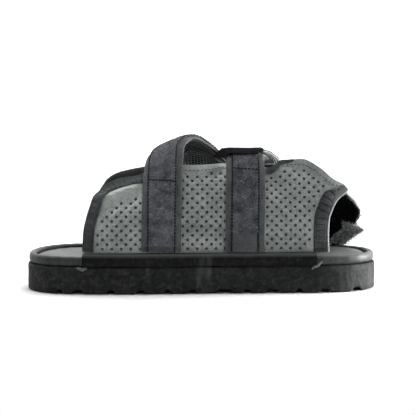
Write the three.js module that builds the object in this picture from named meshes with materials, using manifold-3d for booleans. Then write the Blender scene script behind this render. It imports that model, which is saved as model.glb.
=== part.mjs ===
// Cast sandal: an open-toed, open-heeled walking sandal that is worn over a bandaged or plastered foot.
// Units are millimetres and +Z is up. The toe points along -X.
// The medial side faces -Y and the lateral side +Y.
// The origin lies on the ground under the middle of the sole.

import * as THREE from "three";
import Module from "manifold-3d";
import { mergeVertices } from "three/addons/utils/BufferGeometryUtils.js";

const wasm = await Module();
wasm.setup();

// Sole
const SOLE_LENGTH = 282;
const SOLE_WIDTH = 112;
const OUTSOLE_THICKNESS = 21.5;
const OUTSOLE_EDGE = 1.3; // rounding of the outsole's top and bottom edges
const GROOVE_DEPTH = 3;
const GROOVE_FLOOR_SHARE = 0.4; // width of a groove's floor against its mouth
const INSOLE_THICKNESS = 7.7;
const INSOLE_INSET = 1; // from the outsole's side to the insole's edge tape
const INSOLE_HOLLOW = 2; // how far the footbed lies below its edge tape
const INSOLE_TAPE_WIDTH = 5.5;

// Upper
const GAP = 0.3; // clearance between neighbouring pieces
const SOFT_GAP = 0.55; // clearance between cloth layers that bend over one another
const UPPER_WALL = 2.6;
const UPPER_INSET = 9.9; // from the outsole's side to the inner face of the upper
const HEEL_STRETCH = 1.06; // the upper keeps closer to the sole's edge round the heel
const ROUNDNESS = 0.85; // section of the upper: 1 is an ellipse, less is squarer
const SIDE_WRAP = 1.6;

// Tapes and straps
const BINDING_THICKNESS = 0.8;
const BINDING_GAP = 0.7; // clearance between a binding's two leaves and the upper
const FRONT_BINDING_WIDTH = 8;
const REAR_BINDING_WIDTH = { medial: 10, lateral: 4 };
const STRAP_WIDTH = 31;
const STRAP_THICKNESS = 2;
const STRAP_TAPE_WIDTH = 22;
const STRAP_TAPE_THICKNESS = 1.1;
const FLAP_WIDTH = 40; // measured along the sandal, as the flap lies askew
const FLAP_LIFT = 2.2; // how far the loose end of the rear flap stands off the strap below it

// Resolution of the faceted solids
const OUTLINE_STEPS = 72;
const PANEL_COLUMNS = 30;
const PANEL_ROWS = 14;
const FRONT_BINDING_COLUMNS = 6; // panel columns that the front binding covers along the top edge
const STRAP_STEP_GIRTH = 0.026; // share of the girth between two sections of a strap
const WALK_STEP = 2;

const INSOLE_BOTTOM = OUTSOLE_THICKNESS + GAP;
const INSOLE_TOP = INSOLE_BOTTOM + INSOLE_THICKNESS;
const SIDE_WRAP_TOP = INSOLE_TOP + GAP + SIDE_WRAP;
const UPPER_BASE = SIDE_WRAP_TOP + GAP;

// The sole's outline, from the toe along the medial side to the heel and back along the lateral side.
// along runs from -1 at the toe to 1 at the heel, across from -1 medial to 1 lateral.
const SOLE_OUTLINE = [
  { along: -1.0, across: -0.12 },
  { along: -0.965, across: -0.57 },
  { along: -0.845, across: -0.88 },
  { along: -0.58, across: -1.0 },
  { along: -0.25, across: -0.98 },
  { along: 0.1, across: -0.9 },
  { along: 0.44, across: -0.85 },
  { along: 0.7, across: -0.81 },
  { along: 0.885, across: -0.63 },
  { along: 0.985, across: -0.26 },
  { along: 0.985, across: 0.24 },
  { along: 0.885, across: 0.62 },
  { along: 0.7, across: 0.81 },
  { along: 0.44, across: 0.86 },
  { along: 0.1, across: 0.92 },
  { along: -0.25, across: 0.99 },
  { along: -0.58, across: 1.0 },
  { along: -0.84, across: 0.83 },
  { along: -0.955, across: 0.48 },
];

// Cross grooves of the tread: centre from the middle of the sole and width of the mouth
const GROOVES = [
  { x: -111, mouth: 6 },
  { x: -97, mouth: 12 },
  { x: -71, mouth: 8 },
  { x: -48, mouth: 8 },
  { x: -27, mouth: 7 },
  { x: -7, mouth: 9 },
  { x: 18, mouth: 16 },
  { x: 35, mouth: 7 },
  { x: 56, mouth: 13 },
  { x: 77, mouth: 7 },
  { x: 97, mouth: 10 },
  { x: 123, mouth: 9 },
];

// Crest line over the foot: height of the upper's inner surface at the middle
const CREST = [
  { x: -100, height: 84 },
  { x: -82, height: 91 },
  { x: -62, height: 97.5 },
  { x: -45, height: 101.5 },
  { x: -25, height: 112 },
  { x: -8, height: 117 },
  { x: 4, height: 110.5 },
  { x: 12, height: 104.5 },
  { x: 20, height: 102.4 },
  { x: 34, height: 102 },
  { x: 50, height: 102.4 },
  { x: 60, height: 104.5 },
  { x: 69, height: 109 },
  { x: 84, height: 112 },
  { x: 104, height: 108 },
  { x: 141, height: 96 },
];

// Soft folds, where the upper is pushed in towards the foot:
// the middle of the fold, its reach each way and its depth
const FOLDS = [
  { x: 131, girth: 0.925, reachX: 13, reachGirth: 0.03, depth: 2.4 },
  { x: 62, girth: 0.25, reachX: 26, reachGirth: 0.09, depth: 1.6 },
  { x: -2, girth: 0.15, reachX: 13, reachGirth: 0.12, depth: -1.2 },
];

// Outlines of the two sides of the upper. rise is the share of the edge's own height above the base.
const SIDES = {
  medial: {
    sign: -1,
    wrap: { from: -94, to: 91 },
    front: [
      { rise: 0, x: -92.7 },
      { rise: 0.36, x: -91.8 },
      { rise: 0.64, x: -89 },
      { rise: 0.84, x: -85.9 },
      { rise: 0.92, x: -84.1 },
      { rise: 1, x: -81.7 },
    ],
    top: [
      { x: -81.7, height: 77 },
      { x: -78.5, height: 80.3 },
      { x: -74, height: 83 },
      { x: -65, height: 86.7 },
      { x: -45, height: 91 },
      { x: -12, height: 98.5 },
      { x: 14, height: 98.5 },
      { x: 34, height: 96 },
      { x: 54, height: 95.5 },
      { x: 66, height: 101.5 },
      { x: 80, height: 102.6 },
      { x: 94, height: 96 },
      { x: 104, height: 87.5 },
      { x: 112.5, height: 83.3 },
      { x: 115, height: 80.7 },
    ],
    rear: [
      { rise: 0, x: 99.4 },
      { rise: 0.3, x: 99 },
      { rise: 0.52, x: 99.6 },
      { rise: 0.67, x: 102 },
      { rise: 0.81, x: 105.5 },
      { rise: 0.87, x: 108.3 },
      { rise: 0.935, x: 112.6 },
      { rise: 0.97, x: 114.4 },
      { rise: 1, x: 115 },
    ],
  },
  lateral: {
    sign: 1,
    wrap: { from: -94, to: 121 },
    front: [
      { rise: 0, x: -92.7 },
      { rise: 0.36, x: -91.8 },
      { rise: 0.64, x: -89 },
      { rise: 0.84, x: -85.9 },
      { rise: 0.92, x: -84.1 },
      { rise: 1, x: -81.7 },
    ],
    top: [
      { x: -81.7, height: 79.5 },
      { x: -78.5, height: 82.8 },
      { x: -74, height: 85.6 },
      { x: -65, height: 89.3 },
      { x: -45, height: 93.5 },
      { x: -31, height: 95.3 },
      { x: -23, height: 98 },
      { x: -17, height: 102.5 },
      { x: -10, height: 108.3 },
      { x: -2, height: 106.9 },
      { x: 8, height: 101.7 },
      { x: 17, height: 98.9 },
      { x: 26, height: 96.3 },
      { x: 34, height: 95.5 },
      { x: 54, height: 97 },
      { x: 80, height: 97.5 },
      { x: 98, height: 88 },
      { x: 114, height: 79 },
    ],
    rear: [
      { rise: 0, x: 118.5 },
      { rise: 0.13, x: 123.8 },
      { rise: 0.27, x: 129.7 },
      { rise: 0.4, x: 128.2 },
      { rise: 0.54, x: 130.5 },
      { rise: 0.69, x: 128.2 },
      { rise: 0.86, x: 121.6 },
      { rise: 1, x: 114 },
    ],
  },
};

// Centre lines of the straps over the foot.
// girth runs from 0 at the medial sole edge to 1 at the lateral one.
const FRONT_STRAP = [
  { girth: 0.002, x: -32.2 },
  { girth: 0.2, x: -31 },
  { girth: 0.4, x: -28.2 },
  { girth: 0.5, x: -21 },
  { girth: 0.6, x: 1 },
  { girth: 0.68, x: 8 },
  { girth: 0.8, x: 12 },
  { girth: 0.998, x: 13.5 },
];
const REAR_STRAP = [
  { girth: 0.002, x: 33.5 },
  { girth: 0.3, x: 34.5 },
  { girth: 0.5, x: 35.5 },
  { girth: 0.64, x: 41 },
];
const REAR_FLAP = [
  { girth: 0.44, x: 30 },
  { girth: 0.5, x: 31.5 },
  { girth: 0.58, x: 39 },
  { girth: 0.68, x: 46.5 },
  { girth: 0.998, x: 51.5 },
];

// Value of a short table by monotone cubic interpolation, so that it never overshoots its rows.
function tabulated(rows, input, output) {
  const slopes = rows.slice(1).map((row, i) => {
    return (row[output] - rows[i][output]) / (row[input] - rows[i][input]);
  });
  const tangents = rows.map((row, i) => {
    if (i === 0) return slopes[0];
    if (i === rows.length - 1) return slopes[i - 1];
    const [before, after] = [slopes[i - 1], slopes[i]];
    return before * after <= 0 ? 0 : (2 * before * after) / (before + after);
  });
  return (value) => {
    let i = rows.findIndex((row) => value <= row[input]) - 1;
    if (value > rows.at(-1)[input]) i = rows.length - 2;
    i = Math.max(0, i);
    const span = rows[i + 1][input] - rows[i][input];
    const u = THREE.MathUtils.clamp((value - rows[i][input]) / span, 0, 1);
    const hermite = {
      start: (1 + 2 * u) * (1 - u) ** 2,
      startSlope: u * (1 - u) ** 2,
      end: u * u * (3 - 2 * u),
      endSlope: u * u * (u - 1),
    };
    return (
      hermite.start * rows[i][output] +
      hermite.startSlope * span * tangents[i] +
      hermite.end * rows[i + 1][output] +
      hermite.endSlope * span * tangents[i + 1]
    );
  };
}

// The sole's outline as a closed ring of points, moved inwards by an inset.
const outlineCurve = new THREE.CatmullRomCurve3(
  SOLE_OUTLINE.map(({ along, across }) => {
    return new THREE.Vector3((along * SOLE_LENGTH) / 2, (across * SOLE_WIDTH) / 2, 0);
  }),
  true,
  "centripetal",
);

function soleOutline(inset, steps = OUTLINE_STEPS) {
  const ring = outlineCurve.getSpacedPoints(steps).slice(0, steps);
  const box = new THREE.Box3().setFromPoints(ring);
  const centre = box.getCenter(new THREE.Vector3());
  return ring.map((point, i) => {
    const along = ring[(i + 1) % steps].clone().sub(ring[(i + steps - 1) % steps]).normalize();
    return new THREE.Vector2(point.x - centre.x - along.y * inset, point.y - centre.y + along.x * inset);
  });
}

// Distance of an outline from the centre line at a station, on one side.
function halfWidth(outline, sign) {
  return (x) => {
    for (let i = 0; i < outline.length; i++) {
      const a = outline[i];
      const b = outline[(i + 1) % outline.length];
      const onSide = (a.y + b.y) * sign > 0;
      if (onSide && (a.x - x) * (b.x - x) <= 0 && a.x !== b.x) {
        return Math.abs(a.y + ((x - a.x) / (b.x - a.x)) * (b.y - a.y));
      }
    }
    return 0;
  };
}

// The last: the smooth foot-shaped surface on which the upper and the straps lie.
const crest = tabulated(CREST, "x", "height");
const upperOutline = soleOutline(UPPER_INSET, 4 * OUTLINE_STEPS);
const upperHalf = { medial: halfWidth(upperOutline, -1), lateral: halfWidth(upperOutline, 1) };

function foldDepth(x, girth) {
  return FOLDS.reduce((sum, fold) => {
    const away = ((x - fold.x) / fold.reachX) ** 2 + ((girth - fold.girth) / fold.reachGirth) ** 2;
    return sum + fold.depth * Math.exp(-away);
  }, 0);
}

function lastPoint(x, girth) {
  const angle = THREE.MathUtils.clamp(girth, 0, 1) * Math.PI;
  const side = girth < 0.5 ? "medial" : "lateral";
  const half = upperHalf[side](x > 0 ? x / HEEL_STRETCH : x) - foldDepth(x, girth);
  const across = half * Math.abs(Math.cos(angle)) ** ROUNDNESS;
  const rise = (crest(x) - UPPER_BASE) * Math.sin(angle) ** ROUNDNESS;
  return new THREE.Vector3(x, SIDES[side].sign * across, UPPER_BASE + rise);
}

function lastTangents(spot) {
  const dx = 1;
  const dg = 0.006;
  const [low, high] = [Math.max(0, spot.girth - dg), Math.min(1, spot.girth + dg)];
  return {
    along: lastPoint(spot.x + dx, spot.girth).sub(lastPoint(spot.x - dx, spot.girth)).divideScalar(2 * dx),
    around: lastPoint(spot.x, high).sub(lastPoint(spot.x, low)).divideScalar(high - low),
  };
}

function lastNormal(spot) {
  const { along, around } = lastTangents(spot);
  return along.cross(around).normalize();
}

// The point at a distance outside the last over a spot {x, girth}.
function over(spot, offset) {
  return lastPoint(spot.x, spot.girth).addScaledVector(lastNormal(spot), offset);
}

// Walks over the last from a spot by a distance, in the surface direction nearest to a heading.
function walk(spot, heading, distance) {
  const steps = Math.max(1, Math.ceil(Math.abs(distance) / WALK_STEP));
  let { x, girth } = spot;
  for (let i = 0; i < steps; i++) {
    const { along, around } = lastTangents({ x, girth });
    const [aa, ab, bb] = [along.dot(along), along.dot(around), around.dot(around)];
    const [ha, hb] = [heading.dot(along), heading.dot(around)];
    const det = aa * bb - ab * ab;
    const dx = (ha * bb - hb * ab) / det;
    const dg = (hb * aa - ha * ab) / det;
    const length = along.multiplyScalar(dx).addScaledVector(around, dg).length();
    x += (dx / length) * (distance / steps);
    girth += (dg / length) * (distance / steps);
  }
  return { x, girth };
}

// A closed geometry from points and triangles, turned so that its faces point out.
function closedGeometry(points, triangles) {
  const volume = triangles.reduce((sum, [a, b, c]) => {
    return sum + points[a].dot(new THREE.Vector3().crossVectors(points[b], points[c]));
  }, 0);
  const facing = volume < 0 ? triangles.map(([a, b, c]) => [a, c, b]) : triangles;
  const geometry = new THREE.BufferGeometry().setFromPoints(points);
  geometry.setIndex(facing.flat());
  geometry.computeVertexNormals();
  return geometry;
}

function quad(a, b, c, d) {
  return [
    [a, b, c],
    [a, c, d],
  ];
}

// Joins loops of points into one solid.
// Its two ends are capped by the outline given, or it closes on itself.
function loft(loops, capOutline) {
  const size = loops[0].length;
  const points = loops.flat();
  const triangles = [];
  const lastLoop = capOutline ? loops.length - 1 : loops.length;
  for (let i = 0; i < lastLoop; i++) {
    const next = (i + 1) % loops.length;
    for (let j = 0; j < size; j++) {
      const k = (j + 1) % size;
      triangles.push(...quad(i * size + j, next * size + j, next * size + k, i * size + k));
    }
  }
  if (capOutline) {
    const clockwise = THREE.ShapeUtils.isClockWise(capOutline);
    for (const [a, b, c] of THREE.ShapeUtils.triangulateShape(capOutline, [])) {
      const end = (loops.length - 1) * size;
      triangles.push(clockwise ? [a, c, b] : [a, b, c]);
      triangles.push(clockwise ? [end + a, end + b, end + c] : [end + a, end + c, end + b]);
    }
  }
  return closedGeometry(points, triangles);
}

// A wall over a grid of spots on the last, between two offsets that may change along the grid's rows.
function wall(grid, inner, outer) {
  const rows = grid.length;
  const columns = grid[0].length;
  const at = (i, j, layer) => layer * rows * columns + i * columns + j;
  const points = [inner, outer].flatMap((offset) =>
    grid.flatMap((row, i) => row.map((spot) => over(spot, offset(i / (rows - 1))))),
  );
  const triangles = [];
  for (let i = 0; i + 1 < rows; i++) {
    for (let j = 0; j + 1 < columns; j++) {
      triangles.push(...quad(at(i, j, 1), at(i + 1, j, 1), at(i + 1, j + 1, 1), at(i, j + 1, 1)));
      triangles.push(...quad(at(i, j, 0), at(i, j + 1, 0), at(i + 1, j + 1, 0), at(i + 1, j, 0)));
    }
  }
  for (let i = 0; i + 1 < rows; i++) {
    const end = columns - 1;
    triangles.push(...quad(at(i, 0, 0), at(i + 1, 0, 0), at(i + 1, 0, 1), at(i, 0, 1)));
    triangles.push(...quad(at(i + 1, end, 0), at(i, end, 0), at(i, end, 1), at(i + 1, end, 1)));
  }
  for (let j = 0; j + 1 < columns; j++) {
    const end = rows - 1;
    triangles.push(...quad(at(0, j + 1, 0), at(0, j, 0), at(0, j, 1), at(0, j + 1, 1)));
    triangles.push(...quad(at(end, j, 0), at(end, j + 1, 0), at(end, j + 1, 1), at(end, j, 1)));
  }
  return closedGeometry(points, triangles);
}

function toSolid(geometry) {
  const bare = geometry.clone();
  bare.deleteAttribute("normal");
  const merged = mergeVertices(bare);
  return new wasm.Manifold(
    new wasm.Mesh({
      numProp: 3,
      vertProperties: merged.attributes.position.array,
      triVerts: new Uint32Array(merged.index.array),
    }),
  );
}

function fromSolid(solid) {
  const mesh = solid.getMesh();
  const geometry = new THREE.BufferGeometry();
  geometry.setAttribute("position", new THREE.BufferAttribute(mesh.vertProperties, 3));
  geometry.setIndex(new THREE.BufferAttribute(mesh.triVerts, 1));
  geometry.computeVertexNormals();
  return geometry;
}

// Sole
function ringAt(inset, z) {
  return soleOutline(inset).map((point) => new THREE.Vector3(point.x, point.y, z));
}

function outsole() {
  const rings = [
    ringAt(OUTSOLE_EDGE, 0),
    ringAt(0, OUTSOLE_EDGE),
    ringAt(0, OUTSOLE_THICKNESS - OUTSOLE_EDGE),
    ringAt(OUTSOLE_EDGE, OUTSOLE_THICKNESS),
  ];
  const body = toSolid(loft(rings, soleOutline(0)));
  return fromSolid(GROOVES.reduce((solid, groove) => solid.subtract(toSolid(grooveCutter(groove))), body));
}

function grooveCutter({ x, mouth }) {
  const floor = mouth * GROOVE_FLOOR_SHARE;
  const below = -GROOVE_DEPTH;
  const section = [
    new THREE.Vector2(x - mouth / 2, 0),
    new THREE.Vector2(x - mouth / 2, below),
    new THREE.Vector2(x + mouth / 2, below),
    new THREE.Vector2(x + mouth / 2, 0),
    new THREE.Vector2(x + floor / 2, GROOVE_DEPTH),
    new THREE.Vector2(x - floor / 2, GROOVE_DEPTH),
  ];
  const ends = [-SOLE_WIDTH, SOLE_WIDTH].map((y) => section.map((p) => new THREE.Vector3(p.x, y, p.y)));
  return loft(ends, section);
}

function insole() {
  const inset = INSOLE_INSET + INSOLE_TAPE_WIDTH + GAP;
  const edge = 0.8;
  const top = INSOLE_TOP - INSOLE_HOLLOW;
  const rings = [ringAt(inset, INSOLE_BOTTOM), ringAt(inset, top - edge), ringAt(inset + edge, top)];
  return loft(rings, soleOutline(inset));
}

// Sections of pieces that run along the sole's edge: inset from the outsole's side, and height
function insoleTapeSection() {
  const inner = INSOLE_INSET + INSOLE_TAPE_WIDTH;
  return [
    { inset: INSOLE_INSET, z: INSOLE_BOTTOM },
    { inset: INSOLE_INSET, z: INSOLE_TOP - 2.6 },
    { inset: INSOLE_INSET + 0.8, z: INSOLE_TOP - 1 },
    { inset: INSOLE_INSET + 2.4, z: INSOLE_TOP },
    { inset: inner - 0.4, z: INSOLE_TOP },
    { inset: inner, z: INSOLE_TOP - 0.6 },
    { inset: inner, z: INSOLE_BOTTOM },
  ];
}

function sideWrapSection() {
  const face = INSOLE_INSET - GAP - SIDE_WRAP;
  const inner = UPPER_INSET + 0.5;
  const tape = insoleTapeSection();
  return [
    { inset: face, z: INSOLE_BOTTOM },
    { inset: face, z: SIDE_WRAP_TOP - 4 },
    { inset: face + 1, z: SIDE_WRAP_TOP - 1.4 },
    { inset: face + 2.8, z: SIDE_WRAP_TOP },
    { inset: inner, z: SIDE_WRAP_TOP },
    { inset: inner, z: INSOLE_TOP + GAP },
    { inset: tape[3].inset - 0.3, z: INSOLE_TOP + GAP },
    { inset: tape[2].inset - 0.3, z: tape[2].z + 0.2 },
    { inset: tape[1].inset - GAP, z: tape[1].z },
    { inset: INSOLE_INSET - GAP, z: INSOLE_BOTTOM },
  ];
}

function edgeLoops(section) {
  const rings = section.map(({ inset, z }) => ringAt(inset, z));
  return rings[0].map((_, i) => rings.map((ring) => ring[i]));
}

function insoleBinding() {
  return loft(edgeLoops(insoleTapeSection()), null);
}

function sideWrap({ sign, wrap }) {
  const section = sideWrapSection();
  const loops = edgeLoops(section).filter((loop) => {
    const edge = loop[0];
    return edge.y * sign > 0 && edge.x >= wrap.from && edge.x <= wrap.to;
  });
  return loft(
    loops.sort((a, b) => a[0].x - b[0].x),
    section.map(({ inset, z }) => new THREE.Vector2(inset, z)),
  );
}

// Upper
function girthAt(side, x, z) {
  const rise = THREE.MathUtils.clamp((z - UPPER_BASE) / (crest(x) - UPPER_BASE), 0, 1);
  const angle = Math.asin(rise ** (1 / ROUNDNESS)) / Math.PI;
  return side === "medial" ? angle : 1 - angle;
}

// A spot of one side of the upper: s from its front edge to its rear edge, t from its base to its top edge.
const panelEdges = Object.fromEntries(
  Object.entries(SIDES).map(([side, table]) => [
    side,
    {
      front: tabulated(table.front, "rise", "x"),
      rear: tabulated(table.rear, "rise", "x"),
      top: tabulated(table.top, "x", "height"),
    },
  ]),
);

function panelSpot(side, s, t) {
  const { front, rear, top } = panelEdges[side];
  const x = THREE.MathUtils.lerp(front(t), rear(t), s);
  const height = top(THREE.MathUtils.lerp(front(1), rear(1), s));
  return { x, girth: girthAt(side, x, THREE.MathUtils.lerp(UPPER_BASE, height, t)) };
}

function shares(steps) {
  return Array.from({ length: steps + 1 }, (_, i) => i / steps);
}

function upper(side) {
  const grid = shares(PANEL_COLUMNS).map((s) => shares(PANEL_ROWS).map((t) => panelSpot(side, s, t)));
  return wall(
    grid,
    () => 0,
    () => UPPER_WALL,
  );
}

// Section of a tape folded over an edge of the upper:
// reach from the edge into the panel, and offset from the last.
function bindingSection(width) {
  const fold = -GAP - BINDING_THICKNESS;
  const [outerFace, innerFace] = [UPPER_WALL + BINDING_GAP, -BINDING_GAP];
  const [outerBack, innerBack] = [outerFace + BINDING_THICKNESS, innerFace - BINDING_THICKNESS];
  return [
    ...[width, width / 2, fold].map((reach) => ({ reach, offset: outerBack })),
    ...[fold, width / 2, width].map((reach) => ({ reach, offset: innerBack })),
    ...[width, width / 2, -GAP].map((reach) => ({ reach, offset: innerFace })),
    ...[-GAP, width / 2, width].map((reach) => ({ reach, offset: outerFace })),
  ];
}

// The tape along a path on the edge.
// inside gives a spot within the panel near the path's spot, and width the tape's width there.
function binding(path, width, inside) {
  const loops = path.map((spot, i) => {
    const before = over(path[Math.max(0, i - 1)], 0);
    const after = over(path[Math.min(path.length - 1, i + 1)], 0);
    const inward = lastNormal(spot).cross(after.sub(before)).normalize();
    if (inward.dot(over(inside(i), 0).sub(over(spot, 0))) < 0) inward.negate();
    return bindingSection(width(i)).map(({ reach, offset }) => over(walk(spot, inward, reach), offset));
  });
  return loft(
    loops,
    bindingSection(width(0)).map(({ reach, offset }) => new THREE.Vector2(reach, offset)),
  );
}

function frontBinding(side) {
  const upEdge = shares(PANEL_ROWS).map((share) => [0, Math.max(0.03, share)]);
  const alongTop = shares(PANEL_COLUMNS).slice(1, FRONT_BINDING_COLUMNS).map((share) => [share, 1]);
  const path = [...upEdge, ...alongTop];
  return binding(
    path.map(([s, t]) => panelSpot(side, s, t)),
    () => FRONT_BINDING_WIDTH,
    (i) => panelSpot(side, path[i][0] + 0.1, path[i][1] - 0.2),
  );
}

function rearBinding(side) {
  const path = shares(PANEL_ROWS).map((share) => [1, THREE.MathUtils.clamp(share, 0.03, 0.98)]);
  return binding(
    path.map(([s, t]) => panelSpot(side, s, t)),
    (i) => REAR_BINDING_WIDTH[side] * THREE.MathUtils.clamp((1 - path[i][1]) / 0.22, 0.3, 1),
    (i) => panelSpot(side, path[i][0] - 0.1, path[i][1] - 0.05),
  );
}

// Straps. A strap's sections lie square to its centre line, or all along the sandal when it is askew.
function strapGrid(centreLine, width, askew) {
  const centre = tabulated(centreLine, "girth", "x");
  const [from, to] = [centreLine[0].girth, centreLine.at(-1).girth];
  const steps = Math.ceil((to - from) / STRAP_STEP_GIRTH);
  const spots = shares(steps).map((share) => {
    const girth = THREE.MathUtils.lerp(from, to, share);
    return { x: centre(girth), girth };
  });
  return spots.map((spot, i) => {
    const before = over(spots[Math.max(0, i - 1)], 0);
    const after = over(spots[Math.min(steps, i + 1)], 0);
    const square = after.sub(before).cross(lastNormal(spot)).normalize();
    const across = askew ? new THREE.Vector3(1, 0, 0) : square;
    return [-0.5, -0.25, 0, 0.25, 0.5].map((share) => walk(spot, across, share * width));
  });
}

function strap(centreLine, width, base, thickness, lift = () => 0, askew = false) {
  return wall(
    strapGrid(centreLine, width, askew),
    (share) => base + lift(share),
    (share) => base + thickness + lift(share),
  );
}

const STRAP_BASE = UPPER_WALL + SOFT_GAP;
const STRAP_TAPE_BASE = STRAP_BASE + STRAP_THICKNESS + SOFT_GAP;
const FLAP_BASE = STRAP_TAPE_BASE + STRAP_TAPE_THICKNESS + SOFT_GAP;

// The flap lies on the rear strap over the instep and on the upper below it.
// Its loose end stands up a little.
function flapOffset(share) {
  const settle = THREE.MathUtils.smoothstep(share, 0.45, 0.7) * (FLAP_BASE - STRAP_BASE);
  const curl = FLAP_LIFT * Math.max(0, 1 - share / 0.16) ** 2;
  return curl - settle;
}

// Finishes
const finish = (color, roughness) => new THREE.MeshStandardMaterial({ color, roughness, metalness: 0 });
const FINISHES = {
  outsole: finish(0x1d1f1f, 0.8),
  footbed: finish(0x6c6e70, 0.6),
  edgeTape: finish(0x1b1c1d, 0.55),
  vinyl: finish(0x7d8280, 0.5),
  binding: finish(0x3b3e40, 0.8),
  strap: finish(0x55585a, 0.75),
  loopTape: finish(0x3f4145, 0.95),
  hookTape: finish(0x17181a, 0.9),
};

const sandal = new THREE.Group();

function add(name, geometry, material) {
  const mesh = new THREE.Mesh(geometry, material);
  mesh.name = name;
  sandal.add(mesh);
}

add("outsole", outsole(), FINISHES.outsole);
add("insole", insole(), FINISHES.footbed);
add("insole_binding", insoleBinding(), FINISHES.edgeTape);
for (const side of Object.keys(SIDES)) {
  add(`side_wrap_${side}`, sideWrap(SIDES[side]), FINISHES.edgeTape);
  add(`upper_${side}`, upper(side), FINISHES.vinyl);
  add(`front_binding_${side}`, frontBinding(side), FINISHES.binding);
  add(`rear_binding_${side}`, rearBinding(side), FINISHES.binding);
}
add("front_strap", strap(FRONT_STRAP, STRAP_WIDTH, STRAP_BASE, STRAP_THICKNESS), FINISHES.strap);
add(
  "front_strap_tape",
  strap(FRONT_STRAP, STRAP_TAPE_WIDTH, STRAP_TAPE_BASE, STRAP_TAPE_THICKNESS),
  FINISHES.loopTape,
);
add("rear_strap", strap(REAR_STRAP, STRAP_WIDTH, STRAP_BASE, STRAP_THICKNESS), FINISHES.strap);
add(
  "rear_strap_tape",
  strap(REAR_STRAP, STRAP_TAPE_WIDTH, STRAP_TAPE_BASE, STRAP_TAPE_THICKNESS),
  FINISHES.loopTape,
);
add(
  "rear_strap_flap",
  strap(REAR_FLAP, FLAP_WIDTH, FLAP_BASE, STRAP_THICKNESS, flapOffset, true),
  FINISHES.hookTape,
);

export default sandal;
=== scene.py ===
"""Looks of the cast sandal: a perforated vinyl upper, loop-tape straps, a padded insole and a foam outsole.

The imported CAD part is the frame. Each soft piece is remade here on the same foot form and from the same
tables. Sizes are millimetres, as in the part's tables, and a mesh is turned to metres when it is made.
"""

import logging
import math
from collections.abc import Callable, Sequence
from dataclasses import dataclass, field, replace
from enum import Enum
from functools import cache
from typing import NamedTuple

import bpy
import numpy as np
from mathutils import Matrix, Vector
from mathutils.geometry import delaunay_2d_cdt


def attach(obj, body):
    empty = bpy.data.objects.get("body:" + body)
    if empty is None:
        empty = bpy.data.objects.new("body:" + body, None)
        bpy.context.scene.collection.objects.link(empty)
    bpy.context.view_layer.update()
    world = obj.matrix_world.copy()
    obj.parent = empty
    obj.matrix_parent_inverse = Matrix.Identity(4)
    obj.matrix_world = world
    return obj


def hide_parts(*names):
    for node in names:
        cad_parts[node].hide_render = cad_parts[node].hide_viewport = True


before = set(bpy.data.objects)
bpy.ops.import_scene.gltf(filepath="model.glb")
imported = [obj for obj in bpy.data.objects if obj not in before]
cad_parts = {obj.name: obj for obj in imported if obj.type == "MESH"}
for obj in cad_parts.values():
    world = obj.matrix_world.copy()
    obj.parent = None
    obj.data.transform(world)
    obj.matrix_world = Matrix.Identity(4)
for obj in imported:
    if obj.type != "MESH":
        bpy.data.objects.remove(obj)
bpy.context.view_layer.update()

MM = 0.001
Array = np.ndarray
Colour = tuple[float, float, float]
Place = tuple[float, float, float]
Socket = bpy.types.NodeSocket
Tree = bpy.types.NodeTree
Sockets = bpy.types.bpy_prop_collection
log = logging.getLogger("cast_sandal")


# Small numbers


def lerp(a: Array, b: Array, share: Array) -> Array:
    """Value between a and b at a share of the way."""
    return a + (b - a) * share


def smoothstep(value: Array, low: float, high: float) -> Array:
    """Smooth ramp from 0 at low to 1 at high."""
    u = np.clip((value - low) / (high - low), 0, 1)
    return u * u * (3 - 2 * u)


def unit(vectors: Array) -> Array:
    """The vectors at length 1."""
    return vectors / np.maximum(np.linalg.norm(vectors, axis=-1, keepdims=True), 1e-9)


def run_length(points: Array) -> Array:
    """Distance run from the first point of a line to each of its points."""
    steps = np.linalg.norm(np.diff(points, axis=0), axis=1)
    return np.concatenate([[0], np.cumsum(steps)])


def tone(red: int, green: int, blue: int) -> Colour:
    """Linear colour of a screen colour with channels from 0 to 255."""
    shares = (channel / 255 for channel in (red, green, blue))
    return tuple(s / 12.92 if s <= 0.04045 else ((s + 0.055) / 1.055) ** 2.4 for s in shares)


def ripple(x: Array, y: Array, pitch: float) -> Array:
    """Gentle uneven waves from -1 to 1 over two coordinates, about a pitch apart."""
    a = np.sin(x / pitch * 2.1 + 1.7 * np.sin(y / pitch * 1.3 + 0.4))
    b = np.sin(y / pitch * 1.9 - x / pitch * 0.8 + 2.1)
    c = np.sin(x / pitch * 0.7 + y / pitch * 0.9 + 1.1)
    return (a + b + c) / 3


def between(u: Array, ends: tuple[Array, Array], slopes: tuple[Array, Array]) -> Array:
    """Smooth curve from one end to the other, with a slope at each."""
    start = (1 + 2 * u) * (1 - u) ** 2 * ends[0] + u * (1 - u) ** 2 * slopes[0]
    return start + u * u * (3 - 2 * u) * ends[1] + u * u * (u - 1) * slopes[1]


@dataclass(frozen=True)
class Table:
    """A short table of value pairs, read by monotone cubic interpolation so that it never overshoots."""

    rows: tuple[tuple[float, float], ...]

    def __call__(self, value: Array) -> Array:
        """Reads the table.

        Args:
            value: Inputs; beyond the table's ends its end values hold.

        Returns:
            The outputs, in the shape of the inputs.
        """
        x, y = np.array(self.rows).T
        slopes = np.diff(y) / np.diff(x)
        before, after = slopes[:-1], slopes[1:]
        same_way = before * after > 0
        total = np.where(same_way, before + after, 1)
        inner = np.where(same_way, 2 * before * after / total, 0)
        tangents = np.concatenate([slopes[:1], inner, slopes[-1:]])
        i = np.clip(np.searchsorted(x, value) - 1, 0, len(x) - 2)
        span = x[i + 1] - x[i]
        u = np.clip((value - x[i]) / span, 0, 1)
        return between(u, (y[i], y[i + 1]), (span * tangents[i], span * tangents[i + 1]))

    @property
    def ends(self) -> tuple[float, float]:
        """First and last input of the table."""
        return self.rows[0][0], self.rows[-1][0]


# The foot form


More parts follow.
